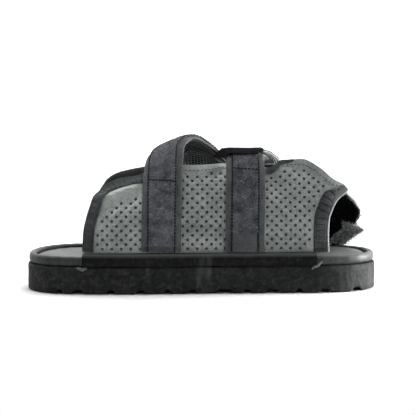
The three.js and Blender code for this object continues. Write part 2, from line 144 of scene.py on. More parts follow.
class Side(Enum):
    """The two sides of the sandal; the value is the sign of Y."""

    MEDIAL = -1
    LATERAL = 1

    @property
    def label(self) -> str:
        """The side's name in the names of nodes and pieces."""
        return self.name.lower()


class Spots(NamedTuple):
    """Places on the foot form: stations along the sandal, and shares of the girth."""

    x: Array
    girth: Array

    def pick(self, index: Array) -> "Spots":
        """The spots at some indices."""
        return Spots(self.x[index], self.girth[index])


class Fold(NamedTuple):
    """A soft fold, where the upper is pushed in: its middle, its reach each way and its depth."""

    x: float
    girth: float
    reach_x: float
    reach_girth: float
    depth: float


@dataclass(frozen=True)
class SidePattern:
    """Cutting pattern of one side of the upper. Edges run over the share of their own height."""

    side: Side
    front: Table
    rear: Table
    top: Table
    wrap: tuple[float, float]
    rear_tape: float
    straps: tuple[float, float]


FRONT_EDGE = Table(((0, -92.7), (0.36, -91.8), (0.64, -89), (0.84, -85.9), (0.92, -84.1), (1, -81.7)))
PATTERNS = {
    Side.MEDIAL: SidePattern(
        side=Side.MEDIAL,
        front=FRONT_EDGE,
        rear=Table(
            (
                (0, 99.4), (0.3, 99), (0.52, 99.6), (0.67, 102), (0.81, 105.5), (0.87, 108.3),
                (0.935, 112.6), (0.97, 114.4), (1, 115),
            )
        ),
        top=Table(
            (
                (-81.7, 77), (-78.5, 80.3), (-74, 83), (-65, 86.7), (-45, 91), (-12, 98.5), (14, 98.5),
                (34, 96), (54, 95.5), (66, 101.5), (80, 102.6), (94, 96), (104, 87.5), (112.5, 83.3),
                (115, 80.7),
            )
        ),
        wrap=(-94, 91),
        rear_tape=10,
        straps=(-31.5, 34),
    ),
    Side.LATERAL: SidePattern(
        side=Side.LATERAL,
        front=FRONT_EDGE,
        rear=Table(
            (
                (0, 118.5), (0.13, 123.8), (0.27, 129.7), (0.4, 128.2), (0.54, 130.5), (0.69, 128.2),
                (0.86, 121.6), (1, 114),
            )
        ),
        top=Table(
            (
                (-81.7, 79.5), (-78.5, 82.8), (-74, 85.6), (-65, 89.3), (-45, 93.5), (-31, 95.3),
                (-23, 98), (-17, 106), (-10, 110.8), (-2, 109), (8, 104), (17, 98.9), (26, 96.3),
                (34, 95.5), (54, 97), (80, 97.5), (98, 88), (114, 79),
            )
        ),
        wrap=(-94, 121),
        rear_tape=4,
        straps=(12, 51),
    ),
}

SOLE_OUTLINE = (
    (-1.0, -0.12), (-0.965, -0.57), (-0.845, -0.88), (-0.58, -1.0), (-0.25, -0.98), (0.1, -0.9),
    (0.44, -0.85), (0.7, -0.81), (0.885, -0.63), (0.985, -0.26), (0.985, 0.24), (0.885, 0.62), (0.7, 0.81),
    (0.44, 0.86), (0.1, 0.92), (-0.25, 0.99), (-0.58, 1.0), (-0.84, 0.83), (-0.955, 0.48),
)

CREST = Table(
    (
        (-100, 84), (-82, 91), (-62, 97.5), (-45, 101.5), (-25, 112), (-8, 117), (4, 110.5), (12, 104.5),
        (20, 102.4), (34, 102), (50, 102.4), (60, 104.5), (69, 109), (84, 112), (104, 108), (141, 96),
    )
)

FOLDS = (
    Fold(x=131, girth=0.925, reach_x=13, reach_girth=0.03, depth=2.4),
    Fold(x=62, girth=0.25, reach_x=26, reach_girth=0.09, depth=1.6),
    Fold(x=-2, girth=0.15, reach_x=13, reach_girth=0.12, depth=-1.2),
)


@dataclass
class FootForm:
    """The smooth foot-shaped surface on which the upper and the straps lie.

    A spot on it is a station x along the sandal and a girth share, from 0 at the medial sole edge over
    0.5 on the crest to 1 at the lateral sole edge.
    """

    sole_length: float = 282
    sole_width: float = 112
    base: float = 31.7
    inset: float = 9.9
    heel_stretch: float = 1.06
    roundness: float = 0.85
    climb_steps: int = 90
    half_widths: dict[Side, tuple[Array, Array]] = field(init=False)

    def __post_init__(self) -> None:
        """Works out the form's half width on each side from the sole's outline."""
        ring = self.outline(self.inset, 288)
        self.half_widths = {}
        for side in Side:
            rows = ring[ring[:, 1] * side.value > 0]
            rows = rows[np.argsort(rows[:, 0])]
            self.half_widths[side] = (rows[:, 0], np.abs(rows[:, 1]))

    def outline(self, inset: float, steps: int) -> Array:
        """The sole's outline as a ring of evenly spaced points.

        Args:
            inset: How far the ring lies inside the sole's edge.
            steps: Number of points.

        Returns:
            The points, from the toe along the medial side to the heel and back.
        """
        knots = np.array(SOLE_OUTLINE) * (self.sole_length / 2, self.sole_width / 2)
        fine = np.concatenate([self._span(knots, i) for i in range(len(knots))])
        run = run_length(np.vstack([fine, fine[:1]]))
        even = np.arange(steps) * run[-1] / steps
        ring = np.stack([np.interp(even, run, np.append(fine[:, k], fine[0, k])) for k in (0, 1)], axis=1)
        ring -= (ring.min(axis=0) + ring.max(axis=0)) / 2
        along = unit(np.roll(ring, -1, axis=0) - np.roll(ring, 1, axis=0))
        return ring + inset * np.stack([-along[:, 1], along[:, 0]], axis=1)

    @staticmethod
    def _span(knots: Array, i: int, steps: int = 24) -> Array:
        """Points of the centripetal curve from a knot to the next one."""
        p = [knots[(i + k) % len(knots)] for k in (-1, 0, 1, 2)]
        d = [math.sqrt(np.linalg.norm(p[k + 1] - p[k])) for k in range(3)]
        out = ((p[1] - p[0]) / d[0] - (p[2] - p[0]) / (d[0] + d[1])) * d[1] + p[2] - p[1]
        back = ((p[3] - p[2]) / d[2] - (p[3] - p[1]) / (d[1] + d[2])) * d[1] + p[2] - p[1]
        u = (np.arange(steps) / steps)[:, None]
        return between(u, (p[1], p[2]), (out, back))

    def point(self, spots: Spots) -> Array:
        """Points of the form at some spots."""
        x, girth = np.broadcast_arrays(*spots)
        angle = np.clip(girth, 0, 1) * np.pi
        medial = girth < 0.5
        station = np.where(x > 0, x / self.heel_stretch, x)
        halves = [np.interp(station, *self.half_widths[side]) for side in Side]
        half = np.where(medial, *halves)
        for fold in FOLDS:
            away = ((x - fold.x) / fold.reach_x) ** 2 + ((girth - fold.girth) / fold.reach_girth) ** 2
            half = half - fold.depth * np.exp(-away)
        across = half * np.abs(np.cos(angle)) ** self.roundness
        rise = (CREST(x) - self.base) * np.clip(np.sin(angle), 0, 1) ** self.roundness
        return np.stack([x, np.where(medial, -across, across), self.base + rise], axis=-1)

    def tangents(self, spots: Spots) -> tuple[Array, Array]:
        """Surface directions along the sandal and round the girth, per unit of each."""
        step_x, step_girth = 1.0, 0.006
        low = np.maximum(0, spots.girth - step_girth)
        high = np.minimum(1, spots.girth + step_girth)
        ahead = self.point(Spots(spots.x + step_x, spots.girth))
        behind = self.point(Spots(spots.x - step_x, spots.girth))
        around = self.point(Spots(spots.x, high)) - self.point(Spots(spots.x, low))
        return (ahead - behind) / (2 * step_x), around / (high - low)[..., None]

    def normal(self, spots: Spots) -> Array:
        """Outward directions at some spots."""
        return unit(np.cross(*self.tangents(spots)))

    def over(self, spots: Spots, offset: Array | float) -> Array:
        """Points at an offset outside the form."""
        lift = np.broadcast_to(offset, spots.x.shape)
        return self.point(spots) + self.normal(spots) * lift[..., None]

    def walk(self, spots: Spots, heading: Array, distance: Array | float) -> Spots:
        """Walks over the form.

        Args:
            spots: Where to start.
            heading: Direction in space for each spot.
            distance: How far to walk, for all spots or for each.

        Returns:
            The spots where the walks end.
        """
        distance = np.broadcast_to(distance, spots.x.shape).astype(float)
        steps = max(1, math.ceil(np.abs(distance).max() / 2))
        x, girth = spots.x.astype(float), spots.girth.astype(float)
        for _ in range(steps):
            along, around = self.tangents(Spots(x, girth))
            aa, ab, bb = (
                (a * b).sum(-1) for a, b in ((along, along), (along, around), (around, around))
            )
            ha, hb = ((heading * way).sum(-1) for way in (along, around))
            dx = ha * bb - hb * ab
            dg = hb * aa - ha * ab
            length = np.linalg.norm(along * dx[..., None] + around * dg[..., None], axis=-1)
            x = x + dx / length * distance / steps
            girth = girth + dg / length * distance / steps
        return Spots(x, girth)

    def girth_at(self, side: Side, x: Array, z: Array) -> Array:
        """Girth share at a height above the ground."""
        rise = np.clip((z - self.base) / (CREST(x) - self.base), 0, 1)
        angle = np.arcsin(rise ** (1 / self.roundness)) / np.pi
        return angle if side is Side.MEDIAL else 1 - angle

    def panel_spots(self, pattern: SidePattern, s: Array, t: Array) -> Spots:
        """Spots of a side: s runs from its front to its rear edge, t from its base to its top edge."""
        x = lerp(pattern.front(t), pattern.rear(t), s)
        height = pattern.top(lerp(pattern.front(1.0), pattern.rear(1.0), s))
        return Spots(x, self.girth_at(pattern.side, x, lerp(self.base, height, t)))

    def _climb_table(self, side: Side, x: Array) -> tuple[Array, Array]:
        """Girth shares from the sole edge to the crest, and the distance climbed to each at each station."""
        share = np.linspace(0, 0.5, self.climb_steps)
        girth = share if side is Side.MEDIAL else 1 - share
        points = self.point(Spots(x[:, None], girth[None, :]))
        steps = np.linalg.norm(np.diff(points, axis=1), axis=2)
        return share, np.concatenate([np.zeros((len(x), 1)), np.cumsum(steps, axis=1)], axis=1)

    def climb_of(self, side: Side, spots: Spots) -> Array:
        """Distance climbed over the form from the sole edge to each spot."""
        share, climbs = self._climb_table(side, spots.x)
        wanted = spots.girth if side is Side.MEDIAL else 1 - spots.girth
        return np.array([np.interp(w, share, row) for w, row in zip(wanted, climbs)])

    def spots_at(self, side: Side, x: Array, climb: Array) -> Spots:
        """Spots at a station and a distance climbed from the sole edge."""
        share, climbs = self._climb_table(side, x)
        found = np.array([np.interp(c, row, share) for c, row in zip(climb, climbs)])
        return Spots(x, found if side is Side.MEDIAL else 1 - found)

    def evenly(self, spots: Spots, spacing: float) -> Spots:
        """The same line over the form with its spots evenly spaced."""
        run = run_length(self.point(spots))
        even = np.linspace(0, run[-1], max(3, round(run[-1] / spacing)))
        return Spots(np.interp(even, run, spots.x), np.interp(even, run, spots.girth))


FORM = FootForm()


# Meshes in the making


@dataclass
class Skin:
    """A mesh in the making, in millimetres.

    Attributes:
        points: One row for each vertex.
        faces: Vertex indices of each face.
        fabric: Cloth coordinates of each face's corners, along and across the cloth.
    """

    points: Array
    faces: list[tuple[int, ...]]
    fabric: list[tuple[tuple[float, float], ...]]

    def _triangles(self) -> tuple[Array, ...]:
        """The three corners of each triangle that the faces split into."""
        corners = np.array([(f[0], f[k], f[k + 1]) for f in self.faces for k in range(1, len(f) - 1)])
        return tuple(self.points[corners[:, k]] for k in range(3))

    def facing_out(self) -> "Skin":
        """The same closed skin with its faces turned outwards."""
        a, b, c = self._triangles()
        if (a * np.cross(b, c)).sum() < 0:
            self.faces = [face[::-1] for face in self.faces]
            self.fabric = [corners[::-1] for corners in self.fabric]
        return self

    def half_surface(self) -> float:
        """Half the skin's area, in square metres."""
        a, b, c = self._triangles()
        return float(np.linalg.norm(np.cross(b - a, c - a), axis=1).sum() / 4 * MM * MM)

    def joined(self, others: Sequence["Skin"]) -> "Skin":
        """One skin of this one and some more, which keep apart."""
        whole = Skin(self.points, list(self.faces), list(self.fabric))
        for other in others:
            start = len(whole.points)
            whole.points = np.vstack([whole.points, other.points])
            whole.faces += [tuple(start + k for k in face) for face in other.faces]
            whole.fabric += other.fabric
        return whole


def loft(loops: Array, closed: bool = False) -> Skin:
    """Joins sections into a solid.

    Args:
        loops: Sections, each a ring whose second half runs back along its first half.
        closed: True if the last section joins the first; otherwise both ends are capped.

    Returns:
        The skin, with cloth coordinates along the sections and round them.
    """
    rows, size = loops.shape[:2]
    ends = np.concatenate([loops, loops[:1]]) if closed else loops
    run = run_length(ends[:, 0])
    middle = loops[rows // 2]
    around = run_length(np.vstack([middle, middle[:1]]))
    faces, fabric = [], []
    ways = ((0, 0), (1, 0), (1, 1), (0, 1))
    for i in range(rows if closed else rows - 1):
        n = (i + 1) % rows
        for j in range(size):
            k = (j + 1) % size
            faces.append((i * size + j, n * size + j, n * size + k, i * size + k))
            fabric.append(tuple((run[i + a], around[j + b]) for a, b in ways))
    if not closed:
        for start, turn in ((0, 1), ((rows - 1) * size, -1)):
            for k in range(size // 2 - 1):
                corners = (k, k + 1, size - 2 - k, size - 1 - k)[::turn]
                faces.append(tuple(start + c for c in corners))
                fabric.append(tuple((run[0], around[c]) for c in corners))
    return Skin(loops.reshape(-1, 3), faces, fabric).facing_out()


def grid_faces(rows: int, columns: int) -> list[tuple[int, ...]]:
    """Four-sided faces of a grid of points, row by row."""
    corners = [(i * columns + j) for i in range(rows - 1) for j in range(columns - 1)]
    return [(c, c + columns, c + columns + 1, c + 1) for c in corners]


def ring_faces(rings: int, size: int) -> list[tuple[int, ...]]:
    """Four-sided faces between rings of points, ring by ring."""
    faces = []
    for i in range(rings - 1):
        for j in range(size):
            k = (j + 1) % size
            faces.append((i * size + j, i * size + k, (i + 1) * size + k, (i + 1) * size + j))
    return faces


def plan_skin(points: Array, faces: list[tuple[int, ...]]) -> Skin:
    """A closed skin whose cloth coordinates are those of its plan."""
    fabric = [tuple((points[k, 0], points[k, 1]) for k in face) for face in faces]
    return Skin(points, faces, fabric).facing_out()


def shell(top: Array, bottom: Array, faces: Sequence[tuple[int, ...]], flat: Array) -> Skin:
    """A closed sheet between two skins of the same faces.

    Args:
        top: Outer points.
        bottom: Inner points, one under each outer one.
        faces: Faces of the outer skin.
        flat: Cloth coordinates of the points.

    Returns:
        The sheet, with a wall along each open edge.
    """
    count = len(top)
    ways = {(f[k], f[(k + 1) % len(f)]) for f in faces for k in range(len(f))}
    rim = sorted(edge for edge in ways if edge[::-1] not in ways)
    whole = [tuple(f) for f in faces]
    whole += [tuple(count + k for k in f[::-1]) for f in faces]
    whole += [(b, a, a + count, b + count) for a, b in rim]
    fabric = [tuple(tuple(flat[k % count]) for k in f) for f in whole]
    return Skin(np.vstack([top, bottom]), whole, fabric).facing_out()


def cut_sheet(outline: Array, holes: Sequence[Array], fill: Array) -> tuple[Array, list[tuple[int, ...]]]:
    """Triangulates a flat cut with holes.

    Args:
        outline: Ring of points round the cut.
        holes: Convex rings of points.
        fill: More points inside the cut.

    Returns:
        All points, the outline's first, then each hole's and the fill, and the triangles.
    """
    rings = [outline, *holes]
    points = np.vstack([*rings, fill]) if len(fill) else np.vstack(rings)
    edges, owner, start = [], np.full(len(points), -1), 0
    for number, ring in enumerate(rings):
        size = len(ring)
        edges += [(start + k, start + (k + 1) % size) for k in range(size)]
        owner[start : start + size] = number
        start += size
    made = delaunay_2d_cdt([Vector(p) for p in points], edges, [], 1, 1e-6)
    source = [found[0] for found in made[3]]
    triangles = [tuple(source[k] for k in face) for face in made[2]]
    in_hole = [owner[a] > 0 and owner[a] == owner[b] == owner[c] for a, b, c in triangles]
    return points, [t for t, drop in zip(triangles, in_hole) if not drop]


def ring_of(centre: Array, radius: float, sides: int) -> Array:
    """Points of a circle in the plane."""
    turn = np.arange(sides) * 2 * np.pi / sides
    return centre + radius * np.stack([np.cos(turn), np.sin(turn)], axis=1)


def inside(points: Array, outline: Array) -> Array:
    """Which points lie inside a ring, by counting crossings."""
    a, b = outline, np.roll(outline, -1, axis=0)
    x, y = points[:, :1], points[:, 1:]
    spans = (a[:, 1] > y) != (b[:, 1] > y)
    height = np.where(b[:, 1] == a[:, 1], 1, b[:, 1] - a[:, 1])
    crossing = a[:, 0] + (y - a[:, 1]) / height * (b[:, 0] - a[:, 0])
    return (spans & (x < crossing)).sum(axis=1) % 2 == 1


def distance_to(points: Array, line: Array) -> Array:
    """Distance from each point to a line of points."""
    a, step = line[:-1], np.diff(line, axis=0)
    away = points[:, None] - a
    share = np.clip((away * step).sum(-1) / np.maximum((step * step).sum(-1), 1e-9), 0, 1)
    return np.linalg.norm(away - step * share[..., None], axis=-1).min(axis=1)


def threads(centres: Array, sides: Array, ups: Array, radius: float, around: int) -> Skin:
    """Many short threads in one skin.

    Args:
        centres: Points along each thread, in the shape (threads, points, 3).
        sides: Sideways direction at each point.
        ups: Upward direction at each point.
        radius: The thread's radius.
        around: Number of sides of its section.

    Returns:
        The skin; each thread is closed at both ends.
    """
    count, length = centres.shape[:2]
    turn = np.arange(around) * 2 * np.pi / around
    ring = sides[:, :, None] * np.cos(turn)[:, None] + ups[:, :, None] * np.sin(turn)[:, None]
    taper = 0.45 + 0.55 * np.sin(np.linspace(0.12, 0.88, length) * np.pi)
    points = centres[:, :, None] + ring * (radius * taper)[None, :, None, None]
    size = length * around
    faces = ring_faces(length, around)
    faces += [tuple(range(around))[::-1], tuple(range(size - around, size))]
    whole = [tuple(n * size + k for k in face) for n in range(count) for face in faces]
    fabric = [tuple((float(k), 0.0) for k in range(len(face))) for face in whole]
    return Skin(points.reshape(-1, 3), whole, fabric).facing_out()


def net(points: Array, ups: Array, radius: float) -> Skin:
    """Threads along the rows and the columns of a grid of points on a cloth.

    Args:
        points: The grid, in the shape (rows, columns, 3).
        ups: Directions away from the cloth at each point.
        radius: The threads' radius.

    Returns:
        The threads in one skin.
    """
    skins = []
    for grid, up in ((points, ups), (points.swapaxes(0, 1), ups.swapaxes(0, 1))):
        ways = unit(np.gradient(grid, axis=1))
        skins.append(threads(grid, np.cross(ways, up), up, radius, 4))
    return skins[0].joined(skins[1:])


def stitch_row(points: Array, normals: Array, pitch: float, length: float, radius: float) -> Skin:
    """A row of sewn stitches.

    Args:
        points: The row's line on the cloth.
        normals: Outward directions along the line.
        pitch: Distance from one stitch to the next.
        length: Length of a stitch.
        radius: The thread's radius.

    Returns:
        The stitches, which sink into the cloth at their ends.
    """
    run = run_length(points)
    count = max(1, int(run[-1] / pitch))
    share = np.linspace(-0.5, 0.5, 5)
    at = (np.arange(count)[:, None] + 0.5) * run[-1] / count + share * length
    centres = np.stack([np.interp(at, run, points[:, k]) for k in range(3)], axis=-1)
    ups = unit(np.stack([np.interp(at, run, normals[:, k]) for k in range(3)], axis=-1))
    ways = unit(np.repeat(centres[:, -1:] - centres[:, :1], 5, axis=1))
    sink = radius * (1.1 * np.cos(share * np.pi) - 0.55)
    return threads(centres + ups * sink[:, None], np.cross(ways, ups), ups, radius, 6)


def tufts(points: Array, normals: Array, ways: Array, height: Array | float, radius: float) -> Skin:
    """Small thread loops that stand on a cloth.

    Args:
        points: Feet of the loops.
        normals: Outward directions.
        ways: Direction in which each loop lies.
        height: Height of all loops or of each.
        radius: The thread's radius.

    Returns:
        The loops in one skin.
    """
    turn = np.linspace(0, np.pi, 5)
    tall = np.broadcast_to(height, len(points))[:, None, None]
    reach = np.cos(turn)[:, None] * 0.55 * tall
    rise = np.sin(turn)[:, None] * tall
    centres = points[:, None] + ways[:, None] * reach + normals[:, None] * rise
    sides = np.repeat(np.cross(normals, ways)[:, None], 5, axis=1)
    ups = unit(ways[:, None] * reach + normals[:, None] * (rise + 0.05))
    return threads(centres, sides, ups, radius, 3)


# Finishes

# Input sockets of a shader group that is placed in space.
PLACED = {"Vector": "Vector", "Scale": "Float"}
# Patches of rubbed edges and of dust per metre.
WEAR_SCALE, DUST_SCALE = 160.0, 220.0
# How much the painted glints on fibre ends and the painted shade in a relief's hollows show, and the tone of
# that painted shade as a share of the dark one.
FIBRE_GLINT_SHARE, HOLLOW_SHADE_SHARE, HOLLOW_SHADE_TONE = 0.45, 0.5, 0.45


class NodeSheet:
    """Writes nodes and links into one node tree."""

    def __init__(self, tree: Tree) -> None:
        """Starts on a tree."""
        self.tree = tree

    def add(self, kind: str, inputs: dict | None = None, **settings: object) -> bpy.types.Node:
        """Adds a node.

        Args:
            kind: Blender's name of the node type.
            inputs: Values or sockets for its inputs, by name or number.
            **settings: The node's own properties.

        Returns:
            The node.
        """
        node = self.tree.nodes.new(kind)
        for name, value in settings.items():
            setattr(node, name, value)
        for key, value in (inputs or {}).items():
            if isinstance(value, Socket):
                self.tree.links.new(value, node.inputs[key])
            else:
                node.inputs[key].default_value = value
        return node

    def group(self, tree: Tree, **inputs: object) -> Sockets:
        """Outputs of a shader group that is placed with some inputs."""
        return self.add("ShaderNodeGroup", inputs, node_tree=tree).outputs

    def give(self, **outputs: Socket) -> Tree:
        """Ends a shader group with its outputs."""
        self.add("NodeGroupOutput", outputs)
        return self.tree

    def math(self, operation: str, *values: object) -> Socket:
        """Output of a Math node on some values or sockets."""
        return self.add("ShaderNodeMath", dict(enumerate(values)), operation=operation).outputs[0]

    def weigh(self, first: Socket, weight: float, second: Socket, other_weight: float) -> Socket:
        """Sum of two values at their weights."""
        parts = (self.math("MULTIPLY", first, weight), self.math("MULTIPLY", second, other_weight))
        return self.math("ADD", *parts)

    def noise(self, vector: Socket, scale: object, detail: float) -> Socket:
        """Value of a noise texture."""
        values = {"Vector": vector, "Scale": scale, "Detail": detail, "Roughness": 0.6}
        return self.add("ShaderNodeTexNoise", values).outputs[0]

    def ramp(self, value: Socket, low: float, high: float) -> Socket:
        """A value stretched from low and high to 0 and 1."""
        values = {"Value": value, "From Min": low, "From Max": high}
        return self.add("ShaderNodeMapRange", values).outputs[0]

    def mix(self, share: object, first: object, second: object) -> Socket:
        """Colour between two colours."""
        values = {0: share, 6: first, 7: second}
        return self.add("ShaderNodeMix", values, data_type="RGBA").outputs[2]


def group_sheet(name: str, inputs: dict[str, str], outputs: dict[str, str]) -> tuple[NodeSheet, Sockets]:
    """Starts a shader node group.

    Args:
        name: The group's name.
        inputs: Kind of each input socket, by name.
        outputs: Kind of each output socket, by name.

    Returns:
        The group's node sheet, and the sockets that carry its inputs.
    """
    tree = bpy.data.node_groups.new(name, "ShaderNodeTree")
    for way, sockets in (("INPUT", inputs), ("OUTPUT", outputs)):
        for label, kind in sockets.items():
            tree.interface.new_socket(name=label, in_out=way, socket_type=f"NodeSocket{kind}")
    sheet = NodeSheet(tree)
    return sheet, sheet.add("NodeGroupInput").outputs


@cache
def mottle_group() -> Tree:
    """Uneven colour between a dark and a light tone, in large and small patches."""
    tones = {"Dark": "Color", "Light": "Color"}
    sheet, given = group_sheet("uneven_colour", PLACED | tones, {"Color": "Color"})
    large = sheet.noise(given["Vector"], given["Scale"], 3)
    small = sheet.noise(given["Vector"], sheet.math("MULTIPLY", given["Scale"], 9.0), 4)
    value = sheet.ramp(sheet.weigh(large, 0.6, small, 0.4), 0.32, 0.68)
    return sheet.give(Color=sheet.mix(value, given["Dark"], given["Light"]))


@cache
def grain_group() -> Tree:
    """Pebbled grain of coated cloth, with fine pores."""
    sheet, given = group_sheet("pebbled_grain", PLACED, {"Height": "Float", "Crease": "Float"})
    values = {"Vector": given["Vector"], "Scale": given["Scale"]}
    cells = sheet.add("ShaderNodeTexVoronoi", values, feature="SMOOTH_F1").outputs["Distance"]
    pores = sheet.noise(given["Vector"], sheet.math("MULTIPLY", given["Scale"], 3.1), 3)
    height = sheet.weigh(sheet.math("SUBTRACT", 1.0, cells), 0.75, pores, 0.25)
    # Crease marks the hollows between the pebbles, where the finish paints shade.
    return sheet.give(Height=height, Crease=sheet.ramp(cells, 0.35, 0.75))


@cache
def weave_group() -> Tree:
    """Plain weave of ribs along the cloth and threads across it, on cloth coordinates in millimetres."""
    inputs = {"Vector": "Vector", "Ribs": "Float", "Threads": "Float"}
    sheet, given = group_sheet("ribbed_weave", inputs, {"Height": "Float", "Gap": "Float"})
    axes = sheet.add("ShaderNodeSeparateXYZ", {0: given["Vector"]}).outputs
    waves = []
    for axis, density in ((0, "Ribs"), (1, "Threads")):
        turn = sheet.math("MULTIPLY", axes[axis], given[density])
        waves.append(sheet.math("SINE", sheet.math("MULTIPLY", turn, math.pi)))
    rib, thread = (sheet.math("ABSOLUTE", wave) for wave in waves)
    over = sheet.math("MULTIPLY", rib, sheet.math("MULTIPLY_ADD", waves[1], 0.3, 0.7))
    under = sheet.math("MULTIPLY", thread, sheet.math("MULTIPLY_ADD", waves[0], -0.3, 0.5))
    height = sheet.math("MAXIMUM", over, under)
    # Gap marks the low places between the threads, where the finish paints shade.
    return sheet.give(Height=height, Gap=sheet.ramp(height, 0.55, 0.1))


@cache
def pile_group() -> Tree:
    """Fuzzy pile of fine fibres, with pale flecks where fibre ends catch the light."""
    sheet, given = group_sheet("fibre_pile", PLACED, {"Height": "Float", "Fleck": "Float"})
    fuzz = sheet.noise(given["Vector"], given["Scale"], 6)
    values = {"Vector": given["Vector"], "Scale": sheet.math("MULTIPLY", given["Scale"], 0.8)}
    knots = sheet.add("ShaderNodeTexVoronoi", values).outputs["Distance"]
    height = sheet.weigh(fuzz, 0.6, sheet.math("SUBTRACT", 0.8, knots), 0.5)
    return sheet.give(Height=height, Fleck=sheet.ramp(fuzz, 0.56, 0.74))


@cache
def wear_group() -> Tree:
    """Mask of rubbed edges, broken up by noise."""
    sheet, given = group_sheet("rubbed_edges", PLACED, {"Mask": "Float"})
    edge = sheet.add("ShaderNodeNewGeometry").outputs["Pointiness"]
    patch = sheet.ramp(sheet.noise(given["Vector"], given["Scale"], 5), 0.42, 0.68)
    return sheet.give(Mask=sheet.math("MULTIPLY", sheet.ramp(edge, 0.52, 0.6), patch))


@cache
def dust_group() -> Tree:
    """Mask of pale dust and scuffs, which gather towards the ground."""
    sheet, given = group_sheet("dust_and_scuffs", PLACED, {"Mask": "Float"})
    height = sheet.add("ShaderNodeSeparateXYZ", {0: given["Vector"]}).outputs[2]
    low = sheet.ramp(height, 0.03, 0.0)
    specks = sheet.ramp(sheet.noise(given["Vector"], given["Scale"], 6), 0.5, 0.75)
    tall = {"Vector": given["Vector"], "Scale": (1.0, 1.0, 0.25)}
    streak = sheet.add("ShaderNodeMapping", tall).outputs[0]
    scuffs = sheet.noise(streak, sheet.math("MULTIPLY", given["Scale"], 0.3), 3)
    both = sheet.math("MAXIMUM", sheet.math("MULTIPLY", specks, 0.6), sheet.ramp(scuffs, 0.58, 0.72))
    return sheet.give(Mask=sheet.math("MULTIPLY", both, sheet.math("MULTIPLY_ADD", low, 0.4, 0.6)))


@cache
def top_highlight_group() -> Tree:
    """Mask of faces that look up, where a pale painted highlight stands for the overhead light on their
    tops.
    """
    sheet, given = group_sheet("painted_top_highlight", {"Strength": "Float"}, {"Mask": "Float"})
    facing = sheet.add("ShaderNodeNewGeometry").outputs["Normal"]
    up = sheet.ramp(sheet.add("ShaderNodeSeparateXYZ", {0: facing}).outputs[2], 0.15, 0.95)
    return sheet.give(Mask=sheet.math("MULTIPLY", up, given["Strength"]))


class Surface(Enum):
    """What a finish feels like."""

    GRAIN = "grain"
    WEAVE = "weave"
    PILE = "pile"


@dataclass(frozen=True)
class Finish:
    """One finish of the sandal.

    Attributes:
        name: The material's name.
        slot: The record's material slot that it belongs to; not used.
        surface: Kind of relief.
        dark: Darker tone of the uneven colour.
        light: Lighter tone.
        relief: Cells or threads per millimetre.
        depth: Depth of the relief, in millimetres.
        rough: Roughness in the hollows and on the heights of the relief.
        patch: Patches of uneven colour per metre.
        wear: How much rubbed edges show.
        dust: How much dust and scuffs show.
        top_highlight: How much painted highlight goes on faces that look up.
        wear_dust_and_highlight_tone: Tone of rubbed and dusty places, and of the painted highlight on faces
            that look up and the painted glints on fibre ends.
        sheen: Sheen of standing fibres.
        specular: Strength of reflections at right angles.
    """

    name: str
    slot: str
    surface: Surface
    dark: Colour
    light: Colour
    relief: float
    depth: float
    rough: tuple[float, float]
    patch: float = 30
    wear: float = 0.0
    dust: float = 0.0
    top_highlight: float = 0.0
    wear_dust_and_highlight_tone: Colour = (0.3, 0.3, 0.3)
    sheen: float = 0.0
    specular: float = 0.5

    @cache
    def material(self) -> bpy.types.Material:
        """Builds the finish's material, once."""
        material = bpy.data.materials.new(self.name)
        material.use_nodes = True
        material.node_tree.nodes.clear()
        sheet = NodeSheet(material.node_tree)
        where = sheet.add("ShaderNodeTexCoord").outputs["Object"]
        tones = {"Dark": (*self.dark, 1), "Light": (*self.light, 1)}
        colour = sheet.group(mottle_group(), Vector=where, Scale=self.patch, **tones)["Color"]
        wear_dust_and_highlight_tone = (*self.wear_dust_and_highlight_tone, 1)
        # Painted shade: the relief's hollows are darkened towards a darker copy of the dark tone.
        hollow_shade = (*(HOLLOW_SHADE_TONE * channel for channel in self.dark), 1)
        pile = self.surface is Surface.PILE
        relief, shade_and_glint_mask = self._relief(sheet, where)
        # Pile gets painted glints on its fibre ends; grain and weave get painted shade in their hollows.
        shade_and_glint_share = sheet.math("MULTIPLY", shade_and_glint_mask, FIBRE_GLINT_SHARE if pile else HOLLOW_SHADE_SHARE)
        colour = sheet.mix(shade_and_glint_share, colour, wear_dust_and_highlight_tone if pile else hollow_shade)
        effects = ((self.wear, wear_group, WEAR_SCALE), (self.dust, dust_group, DUST_SCALE))
        for share, effect, scale in effects:
            if share:
                mask = sheet.group(effect(), Vector=where, Scale=scale)["Mask"]
                colour = sheet.mix(sheet.math("MULTIPLY", mask, share), colour, wear_dust_and_highlight_tone)
        # Faces that look up get a painted highlight in the pale tone, for the overhead light on them.
        if self.top_highlight:
            colour = sheet.mix(sheet.group(top_highlight_group(), Strength=self.top_highlight)["Mask"], colour, wear_dust_and_highlight_tone)
        low, high = self.rough
        rough = sheet.add("ShaderNodeMapRange", {"Value": relief, "To Min": low, "To Max": high})
        bump = sheet.add("ShaderNodeBump", {"Strength": 0.8, "Distance": self.depth * MM, "Height": relief})
        values = {
            "Base Color": colour,
            "Roughness": rough.outputs[0],
            "Normal": bump.outputs[0],
            "Sheen Weight": self.sheen,
            "Sheen Roughness": 0.4,
            "Specular IOR Level": self.specular,
        }
        shader = sheet.add("ShaderNodeBsdfPrincipled", values)
        sheet.add("ShaderNodeOutputMaterial", {"Surface": shader.outputs[0]})
        return material

    def _relief(self, sheet: NodeSheet, where: Socket) -> tuple[Socket, Socket]:
        """Height of the relief, and the mask for its painted marks: shade in the creases and gaps of grain
        and weave, glints on the fibre ends of pile.
        """
        if self.surface is Surface.WEAVE:
            cloth = sheet.add("ShaderNodeUVMap", uv_map="fabric").outputs[0]
            made = sheet.group(weave_group(), Vector=cloth, Ribs=self.relief, Threads=self.relief * 1.3)
        else:
            effect = grain_group() if self.surface is Surface.GRAIN else pile_group()
            made = sheet.group(effect, Vector=where, Scale=self.relief / MM)
        return made[0], made[1]


